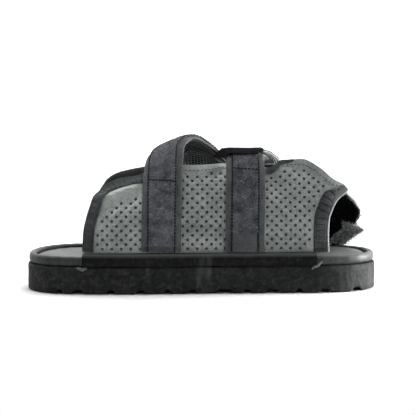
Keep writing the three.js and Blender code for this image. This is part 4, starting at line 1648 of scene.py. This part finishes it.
    def build_tapes(self, label: str) -> None:
        """Builds the front and rear binding tapes with their stitches."""
        count, along = 90, np.linspace(0, 0.215, 40)[1:]
        front_s = np.concatenate([np.zeros(count), along])
        front_t = np.concatenate([np.linspace(0.03, 1, count), np.ones(len(along))])
        self._front_tape(label, self.edge(front_s, front_t, self.tape_step))
        rise = np.linspace(0.0, 0.99, count)
        edge = self.edge(np.ones(count), rise, self.tape_step)
        share = np.interp(np.linspace(0, 1, len(edge.run)), np.linspace(0, 1, count), rise)
        if self.pattern.side is Side.MEDIAL:
            self._heel_edge(edge, share)
            self._saddle_tape()
        else:
            self._ragged_edge(edge, share)

    def _fold(
        self, name: str, node: str, edge: Edge, loops: Array, finish: Finish
    ) -> None:
        """Adds a tape along an edge from its sections."""
        skin = loft(loops)
        tape = add_piece(name, skin, finish, node)
        length = edge.run[-1] * MM
        width = max(run_length(loops[len(loops) // 3, : loops.shape[1] // 2])[-1] * MM, 0.01)
        area = min(skin.half_surface(), width * length)

    def _front_tape(self, label: str, edge: Edge) -> None:
        """Builds the binding tape folded over the front edge, and its stitches."""
        name, node = f"front_tape_{label}", f"front_binding_{label}"
        width = np.full(len(edge.run), self.front_tape)
        loops = self.folded_tape(edge, (width, width * 0.92), self.tape_gap, self.tape_thickness, 0.3)
        self._fold(name, node, edge, loops, BINDING_TAPE)
        offset = self.wall + self.tape_gap + self.tape_thickness + 0.1
        seam = self.seam(edge, width * 0.86, offset, self.tape_stitch)
        cross = self.ladder(edge, width * 0.12, width * 0.8, offset - 0.2)
        add_piece(f"{name}_stitches", seam.joined([cross]), SEWING_THREAD, node)

    def _heel_edge(self, edge: Edge, share: Array) -> None:
        """Builds the facing of the medial heel edge, and the dark tape laid beside it."""
        node = "rear_binding_medial"
        facing = lerp(0.7, 4.6, smoothstep(share, 0.6, 0.9))
        loops = self.folded_tape(edge, (facing, np.full_like(facing, 2.4)), 0.1, 0.95, 0.05)
        # The facing's lighter grey is a painted highlight for the rim light on the fold.
        self._fold("heel_facing", node, edge, loops, HIGHLIT_HEEL_FACING)
        keep = share < 0.9
        edge, share, facing = edge.pick(keep), share[keep], facing[keep]
        far = np.maximum(self.pattern.rear_tape + 1.2 - 6.5 * smoothstep(share, 0.72, 0.9), facing + 0.6)
        loops = self.laid_tape(edge, facing - 0.4, far, 0.55, 1.2)
        self._fold("rear_tape_medial", node, edge, loops, BINDING_TAPE)
        offset = self.wall + self.tape_thickness + 0.25
        seam = self.seam(edge, far - 0.9, offset - 0.1, self.tape_stitch)
        cross = self.ladder(edge, facing + 1.4, far - 1.4, offset)
        add_piece("rear_tape_medial_stitches", seam.joined([cross]), SEWING_THREAD, node)

    def _saddle_tape(self) -> None:
        """Builds the dark tape over the top edge just behind the rear strap."""
        edge = self.edge(np.linspace(0.675, 0.79, 60), np.ones(60), self.tape_step)
        width = 5.4 - 3.6 * np.linspace(0, 1, len(edge.run)) ** 1.5
        loops = self.folded_tape(edge, (width, width), 0.5, 0.35, 0.3)
        self._fold("saddle_tape", "upper_medial", edge, loops, BINDING_TAPE)

    def _ragged_edge(self, edge: Edge, share: Array) -> None:
        """Builds the narrow, uneven edge of the lateral heel."""
        run = edge.run
        width = np.maximum(2.0 + 1.2 * ripple(run, run * 0.4, 3.4), 0.7)
        inner = (0.35 + 1.1 * smoothstep(share, 0.55, 0.8)) * np.maximum(1 + ripple(run, run, 2.3), 0.3)
        loops = self.folded_tape(edge, (width, inner), 0.1, 0.35, 0.3)
        self._fold("rear_tape_lateral", "rear_binding_lateral", edge, loops, PALE_FACING)


@dataclass
class HeelFleece:
    """The grey fleece lobe that stands out of the lateral heel, folded outwards at its edge."""

    pattern: SidePattern
    s_range: tuple[float, float] = (0.942, 0.99)
    t_range: tuple[float, float] = (0.0, 0.355)
    tip_height: float = 0.255
    tip_reach: float = 0.036
    thickness: float = 2.6
    dark_fibres: int = 640
    pale_fibres: int = 260
    seed: int = 41

    def build(self) -> None:
        """Builds and dresses the lobe."""
        rows, columns = 40, 44
        u, v = np.meshgrid(np.linspace(0, 1, rows), np.linspace(0, 1, columns), indexing="ij")
        u, v = u.ravel(), v.ravel()
        t = lerp(*self.t_range, v)
        spread = np.where(t < self.tip_height, 0.38, 0.1)
        tip = self.tip_reach * np.exp(-(((t - self.tip_height) / spread) ** 2))
        near = self.s_range[0] + 0.012 * v
        s = lerp(near, self.s_range[1] + tip, u)
        spots = FORM.panel_spots(self.pattern, s, t)
        crown = (np.clip(4 * v * (1 - v), 0, 1) * np.clip(6 * u, 0, 1) * np.clip(9 * (1 - u), 0, 1)) ** 0.4
        fuzz = 0.35 * ripple(u * 40, v * 40, 2.6) + 0.4 * ripple(u * 30, v * 30, 7)
        inner = FORM.over(spots, -1.7 - (self.thickness + fuzz) * crown)
        outer = FORM.over(spots, np.full(len(u), -1.55))
        flat = np.column_stack([spots.x, FORM.climb_of(self.pattern.side, spots)])
        skin = shell(outer, inner, grid_faces(rows, columns), flat)
        lobe = add_piece("heel_fleece", skin, GREY_FLEECE, "upper_lateral")
        self.build_fibres(inner, FORM.normal(spots))

    def build_fibres(self, points: Array, normals: Array) -> None:
        """Strews standing fibres over the lobe's inner skin."""
        rng = np.random.default_rng(self.seed)
        count = self.dark_fibres + self.pale_fibres
        pick = rng.integers(0, len(points), count)
        ups = unit(-normals[pick] + np.array([0.8, 0, -0.2]) + 0.5 * rng.normal(size=(count, 3)))
        ways = unit(np.cross(ups, rng.normal(size=(count, 3))))
        heights = rng.uniform(0.9, 3.4, count)
        kinds = {
            "dark": (slice(0, self.dark_fibres), GREY_FLEECE),
            "pale": (slice(self.dark_fibres, count), PALE_FIBRE),
        }
        for name, (part, finish) in kinds.items():
            fibres = tufts(points[pick[part]], ups[part], ways[part], heights[part], 0.17)
            add_piece(f"heel_fleece_{name}_fibres", fibres, finish, "upper_lateral")


# Straps


@dataclass
class StrapBand:
    """A strap over the foot: a cloth band, with a loop tape sewn on it or a hook tape under it."""

    name: str
    node: str
    centre: Table
    width: float
    base: float
    thickness: float = 2.0
    askew: bool = False
    lift: Callable[[Array], Array] = np.zeros_like
    span: tuple[float, float] | None = None
    level: float | None = None
    rib: float = 0.0
    spacing: float = 1.5
    columns: int = 19
    rib_pitch: float = 3.4
    stitch_pitch: float = 2.7

    def __post_init__(self) -> None:
        """Works out the strap's centre line, and the directions along and across it."""
        low, high = self.span or self.centre.ends
        girth = np.linspace(low, high, 300)
        self.path = FORM.evenly(Spots(self.centre(girth), girth), self.spacing)
        points = FORM.point(self.path)
        self.along = unit(np.gradient(points, axis=0))
        square = unit(np.cross(self.along, FORM.normal(self.path)))
        self.across = np.broadcast_to([1.0, 0, 0], square.shape) if self.askew else square
        self.run = run_length(points)
        self.share = self.run / self.run[-1]

    def line(self, across: float, offset: Array | float) -> tuple[Array, Array]:
        """A line along the strap.

        Args:
            across: Distance from the centre line.
            offset: Height over the foot form, apart from the strap's own lift.

        Returns:
            The line's points and outward directions.
        """
        spots = Spots(self.path.x + across, self.path.girth)
        if not self.askew:
            spots = FORM.walk(self.path, self.across, across)
        lift = self.lift(self.share)
        if self.level is not None:
            rise = np.maximum(0, CREST(spots.x) - self.level)
            lift = lift - rise * (1 - smoothstep(self.share, 0.15, 0.5))
        return FORM.over(spots, offset + lift), FORM.normal(spots)

    def places(self, index: Array, across: Array, offset: float) -> tuple[Array, Array]:
        """Points beside some points of the centre line.

        Args:
            index: Which points of the centre line.
            across: Distance of each place from the centre line.
            offset: Height over the foot form, apart from the strap's own lift.

        Returns:
            The points and their outward directions.
        """
        spots = FORM.walk(self.path.pick(index), self.across[index], across)
        return FORM.over(spots, offset + self.lift(self.share)[index]), FORM.normal(spots)

    def ribbon(
        self, width: float, low: float, high: float, edge: float, rough: float, part: slice = slice(None)
    ) -> Skin:
        """A flat ribbon along the strap.

        Args:
            width: Its width.
            low: Height of its underside over the foot form.
            high: Height of its face.
            edge: How much of its half thickness is left at its rounded edges.
            rough: Height of small waves on its face.
            part: Which of the strap's sections it covers.

        Returns:
            The ribbon's skin.
        """
        place = np.sin(np.linspace(-1, 1, self.columns) * np.pi / 2)
        full = np.maximum((1 - np.abs(place) ** 7) ** (1 / 3), edge)
        middle, half = (low + high) / 2, (high - low) / 2
        top, bottom = [], []
        for at, share in zip(place, full):
            ridge = self.rib * math.cos(at * width / self.rib_pitch * 2 * math.pi)
            wave = rough * ripple(self.run, np.full_like(self.run, at * width), 4.5) + ridge
            top.append(self.line(at * width / 2, middle + half * share + wave * share)[0])
            bottom.append(self.line(at * width / 2, middle - half * share - ridge)[0])
        return loft(np.stack([*top, *bottom[::-1]], axis=1)[part])

    def cloth(self, finish: Finish, low: float, high: float, rests_on: Sequence[str]) -> bpy.types.Object:
        """Adds the strap's cloth band."""
        piece = add_piece(self.name, self.ribbon(self.width, low, high, 0.35, 0.06), finish, self.node)
        return piece

    def tape(
        self,
        name: str,
        node: str,
        width: float,
        low: float,
        high: float,
        finish: Finish,
        part: slice = slice(None),
    ) -> None:
        """Adds a tape along some of the strap's sections."""
        skin = self.ribbon(width, low, high, 0.5, 0.08, part)
        piece = add_piece(name, skin, finish, node)
        run = self.run[part]
        cut = (width * MM, max(float(run[-1] - run[0]) * MM, 0.01))
        area = min(skin.half_surface(), cut[0] * cut[1])

    def pile(
        self,
        name: str,
        node: str,
        width: float,
        base: float,
        count: int,
        seed: int,
        first: int,
        finish: Finish,
    ) -> None:
        """Adds the standing thread loops of a loop tape, strewn over it from its first section on."""
        rng = np.random.default_rng(seed)
        index = rng.integers(first + 1, len(self.run) - 1, count)
        across = rng.uniform(-0.48, 0.48, count) * width
        slip = rng.uniform(-0.5, 0.5, count) * self.spacing
        along = self.along[index]
        points, normals = self.places(index, across, base)
        turn = rng.uniform(0, np.pi, count)
        side = np.cross(normals, along)
        ways = unit(along * np.cos(turn)[:, None] + side * np.sin(turn)[:, None])
        add_piece(name, tufts(points + along * slip[:, None], normals, ways, 0.6, 0.13), finish, node)

    def hooks(self, name: str, node: str, width: float, base: float, finish: Finish) -> None:
        """Adds the rows of small hooks under a hook tape."""
        pitch = 1.6
        rows = np.arange(0, self.run[-1], pitch)
        index = np.clip(np.searchsorted(self.run, rows), 1, len(self.run) - 2)
        columns = np.arange(-width / 2 + 0.9, width / 2 - 0.5, pitch)
        index, across = (grid.ravel() for grid in np.meshgrid(index, columns))
        points, normals = self.places(index, across, base)
        add_piece(name, tufts(points, -normals, self.along[index], 0.7, 0.16), finish, node)

    def seams(
        self, name: str, node: str, reach: float, offset: float, crosses: Sequence[float], radius: float
    ) -> None:
        """Adds a row of stitches along each side of the strap, and rows across it.

        Args:
            name: Name of the piece.
            node: CAD node that it goes with.
            reach: Distance of the side rows from the centre line.
            offset: Height of the stitches over the foot form.
            crosses: Shares of the strap's length with a row across.
            radius: The thread's radius.
        """
        pitch = self.stitch_pitch
        rows = [stitch_row(*self.line(side, offset), pitch, 2.75, radius) for side in (-reach, reach)]
        for cross in crosses:
            index = np.full(24, int(cross * (len(self.run) - 1)))
            points, normals = self.places(index, np.linspace(-reach, reach, 24), offset + 0.55)
            rows.append(stitch_row(points, normals, pitch, 2.6, 0.6))
        add_piece(name, rows[0].joined(rows[1:]), SEWING_THREAD, node)


@dataclass
class Straps:
    """The front strap, the rear strap and the flap that closes over the rear strap."""

    strap_width: float = 31
    tape_width: float = 22
    base: float = 3.15
    band: float = 2.0
    tape_face: float = 6.5
    flap_width: float = 40
    flap_base: float = 7.35
    flap_lift: float = 3.4
    flap_level: float = 102.2
    corner_width: float = 13
    loops: int = 2600
    stray_fibres: int = 90

    def build(self) -> None:
        """Builds and dresses the straps."""
        self.build_front()
        self.build_rear()
        self.build_flap()

    def build_front(self) -> None:
        """Builds the front strap, with its hook tape where it bridges the open instep."""
        rows = (
            (0.002, -32.2), (0.2, -31), (0.4, -28.2), (0.5, -21), (0.6, 1), (0.68, 8), (0.8, 12),
            (0.998, 13.5),
        )
        strap = StrapBand("front_strap_cloth", "front_strap", Table(rows), self.strap_width, self.base)
        self._dress(strap, "front_strap", crosses=(0.254,), seed=11, first=3)
        width, low = self.strap_width + 0.3, self.base - 0.75
        bridge = (0.46, 0.74)
        hook = StrapBand("front_strap_cloth", "front_strap", Table(rows), width, self.base, span=bridge)
        hook.tape("front_hook_tape", "front_strap", width, low, self.base + 1.1, HOOK_TAPE)
        hook.hooks("front_hooks", "front_strap", width, low, HOOK_TAPE)
        lines = [hook.line(place, low) for place in np.arange(1.2 - width / 2, width / 2 - 1, 2.6)]
        points, ups = (np.stack([line[k][::2] for line in lines]) for k in (0, 1))
        add_piece("front_hook_net", net(points, -ups, 0.36), NET_THREAD, "front_strap")

    def build_rear(self) -> None:
        """Builds the rear strap."""
        rows = ((0.002, 33.5), (0.3, 34.5), (0.5, 35.5), (0.64, 41))
        strap = StrapBand("rear_strap_cloth", "rear_strap", Table(rows), self.strap_width, self.base)
        self._dress(strap, "rear_strap", crosses=(0.578,), seed=23, first=9)

    def _dress(self, strap: StrapBand, node: str, crosses: Sequence[float], seed: int, first: int) -> None:
        """Adds a strap's cloth, and its loop tape with pile and stitches from its first section on."""
        tape_base = self.base + self.band - 0.1
        strap.cloth(STRAP_CLOTH, self.base, self.base + self.band, ["vinyl_medial", "vinyl_lateral"])
        tape_node, part = f"{node}_tape", slice(first, None)
        width, face = self.tape_width, self.tape_face
        strap.tape(f"{node}_loop_tape", tape_node, width, tape_base, face, LOOP_TAPE, part)
        kinds = (("pile", self.loops, LOOP_TAPE), ("stray_fibres", self.stray_fibres, PALE_FIBRE))
        for k, (label, count, finish) in enumerate(kinds):
            strap.pile(f"{node}_{label}", tape_node, width - 2, face - 0.15, count, seed + k, first, finish)
        strap.seams(f"{node}_stitches", tape_node, width / 2 - 0.5, face - 0.45, crosses, 0.75)

    def build_flap(self) -> None:
        """Builds the flap: grey cloth on top, black hook tape below, and its loose end standing up."""
        rows = ((0.44, 29), (0.5, 31), (0.58, 39), (0.68, 46.5), (0.998, 51.5))
        node, width, base = "rear_strap_flap", self.flap_width, self.flap_base
        shape = {"askew": True, "level": self.flap_level, "lift": self.flap_offset}
        flap = StrapBand("flap_cloth", node, Table(rows), width, base, **shape)
        split, fold = base + 1.5, base - 2.6
        flap.cloth(STRAP_CLOTH, split, split + 0.6, ["rear_strap_cloth"])
        free, end = 9, slice(0, 4)
        flap.tape("flap_hook_tape", node, width + 1.5, base, split, HOOK_TAPE, slice(0, free))
        flap.tape("flap_end_fold", node, width + 1.5, fold, base, HOOK_TAPE, end)
        corner_rows = tuple((girth, x - width / 2 + 5.6) for girth, x in rows)
        corner = StrapBand("flap_hook_tape", node, Table(corner_rows), self.corner_width, base, **shape)
        corner.tape("flap_corner_fold", node, self.corner_width, base - 6.4, fold, HOOK_TAPE, end)
        flap.rib, flap.columns = 0.3, 61
        flap.tape("flap_back", node, width - 0.5, base, split, PALE_FACING, slice(free, None))
        flap.seams("flap_stitches", node, width / 2 - 2.2, split + 0.6, (), 0.25)

    def flap_offset(self, share: Array) -> Array:
        """The flap's lift: its loose end curls up, and past the instep it settles on the upper."""
        settle = smoothstep(share, 0.45, 0.7) * (self.flap_base - self.base)
        return self.flap_lift * np.maximum(0, 1 - share / 0.16) ** 2 - settle


# Studio


class Lamp(NamedTuple):
    """A square soft light: its place, size, power in watts, target, and spread in degrees."""

    name: str
    place: Place
    size: float
    power: float
    target: Place = (0, 0, 0.05)
    spread: float = 180


LAMPS = (
    Lamp("overhead_softbox", (0.0, 0.2, 1.5), 1.1, 18),
    Lamp("heel_key_light", (0.75, 0.05, 0.06), 0.2, 2.5, (0.13, 0.0, 0.02), 60),
    Lamp("heel_rim_light", (1.1, 0.5, 0.4), 0.5, 6),
    Lamp("toe_rim_light", (-1.2, 0.7, 0.7), 0.7, 3),
    Lamp("toe_spot_light", (-0.55, -0.45, 0.9), 0.03, 0.004, (-0.078, -0.045, 0.096), 3.6),
    Lamp("backdrop_light", (0.0, 1.1, 1.5), 1.4, 34, (0.0, 2.2, 0.1)),
)


@dataclass
class Studio:
    """A pale round studio with soft lights, and the camera of the photograph."""

    floor_radius: float = 1.7
    sweep_radius: float = 0.8
    wall_height: float = 2.4
    camera_distance: float = 1.1
    camera_elevation: float = 4.5
    camera_target: Place = (0.0045, 0.0, 0.0639)
    camera_lens: float = 116.7
    glow: float = 0.22

    def build(self) -> None:
        """Builds the floor, the lights, the world and the camera."""
        self.build_floor()
        self.build_lights()
        self.build_camera()
        bpy.context.scene.view_settings.view_transform = "Standard"

    def build_floor(self) -> None:
        """Builds the floor, which sweeps up into a wall all round."""
        turn = np.linspace(0, np.pi / 2, 14)
        sweep = self.sweep_radius
        curve = [(self.floor_radius + sweep * math.sin(a), sweep * (1 - math.cos(a))) for a in turn]
        rim = (self.floor_radius + sweep, self.wall_height)
        profile = [(0.001, 0.0), (0.4, 0.0), (1.0, 0.0), *curve, rim]
        around = np.linspace(0, 2 * np.pi, 97)
        points = np.array([[(r * math.cos(a), r * math.sin(a), z) for r, z in profile] for a in around])
        rows, columns = points.shape[:2]
        faces = [face[::-1] for face in grid_faces(rows, columns)]
        fabric = [tuple((0.0, 0.0) for _ in face) for face in faces]
        skin = Skin(points.reshape(-1, 3) / MM - np.array([0, 0, 0.02]), faces, fabric)
        make_object("studio_floor", skin, STUDIO_PAPER, 60)

    def build_lights(self) -> None:
        """Builds the soft lights and the world's even glow."""
        for lamp in LAMPS:
            data = bpy.data.lights.new(lamp.name, "AREA")
            data.size = lamp.size
            data.energy = lamp.power
            data.spread = math.radians(lamp.spread)
            light = bpy.data.objects.new(lamp.name, data)
            light.location = lamp.place
            way = Vector(lamp.target) - Vector(lamp.place)
            light.rotation_euler = way.to_track_quat("-Z", "Y").to_euler()
            bpy.context.scene.collection.objects.link(light)
        world = bpy.data.worlds.new("studio_glow")
        world.use_nodes = True
        glow = world.node_tree.nodes["Background"].inputs
        glow["Color"].default_value = (1, 1, 1, 1)
        glow["Strength"].default_value = self.glow
        bpy.context.scene.world = world

    def build_camera(self) -> None:
        """Builds the camera at the photograph's viewing angle."""
        tilt = math.radians(self.camera_elevation)
        target = Vector(self.camera_target)
        back = Vector((0, -math.cos(tilt), math.sin(tilt)))
        data = bpy.data.cameras.new("photo_camera")
        data.sensor_width = 36
        data.lens = self.camera_lens
        camera = bpy.data.objects.new("photo_camera", data)
        camera.location = target + back * self.camera_distance
        camera.rotation_euler = (-back).to_track_quat("-Z", "Y").to_euler()
        bpy.context.scene.collection.objects.link(camera)
        bpy.context.scene.camera = camera


def main() -> None:
    logging.basicConfig(level=logging.INFO, format="%(message)s")
    Studio().build()
    Sole().build()
    for pattern in PATTERNS.values():
        SideWrap(pattern).build()
        UpperSide(pattern).build()
    HeelFleece(PATTERNS[Side.LATERAL]).build()
    Straps().build()


if __name__ == "__main__":
    main()
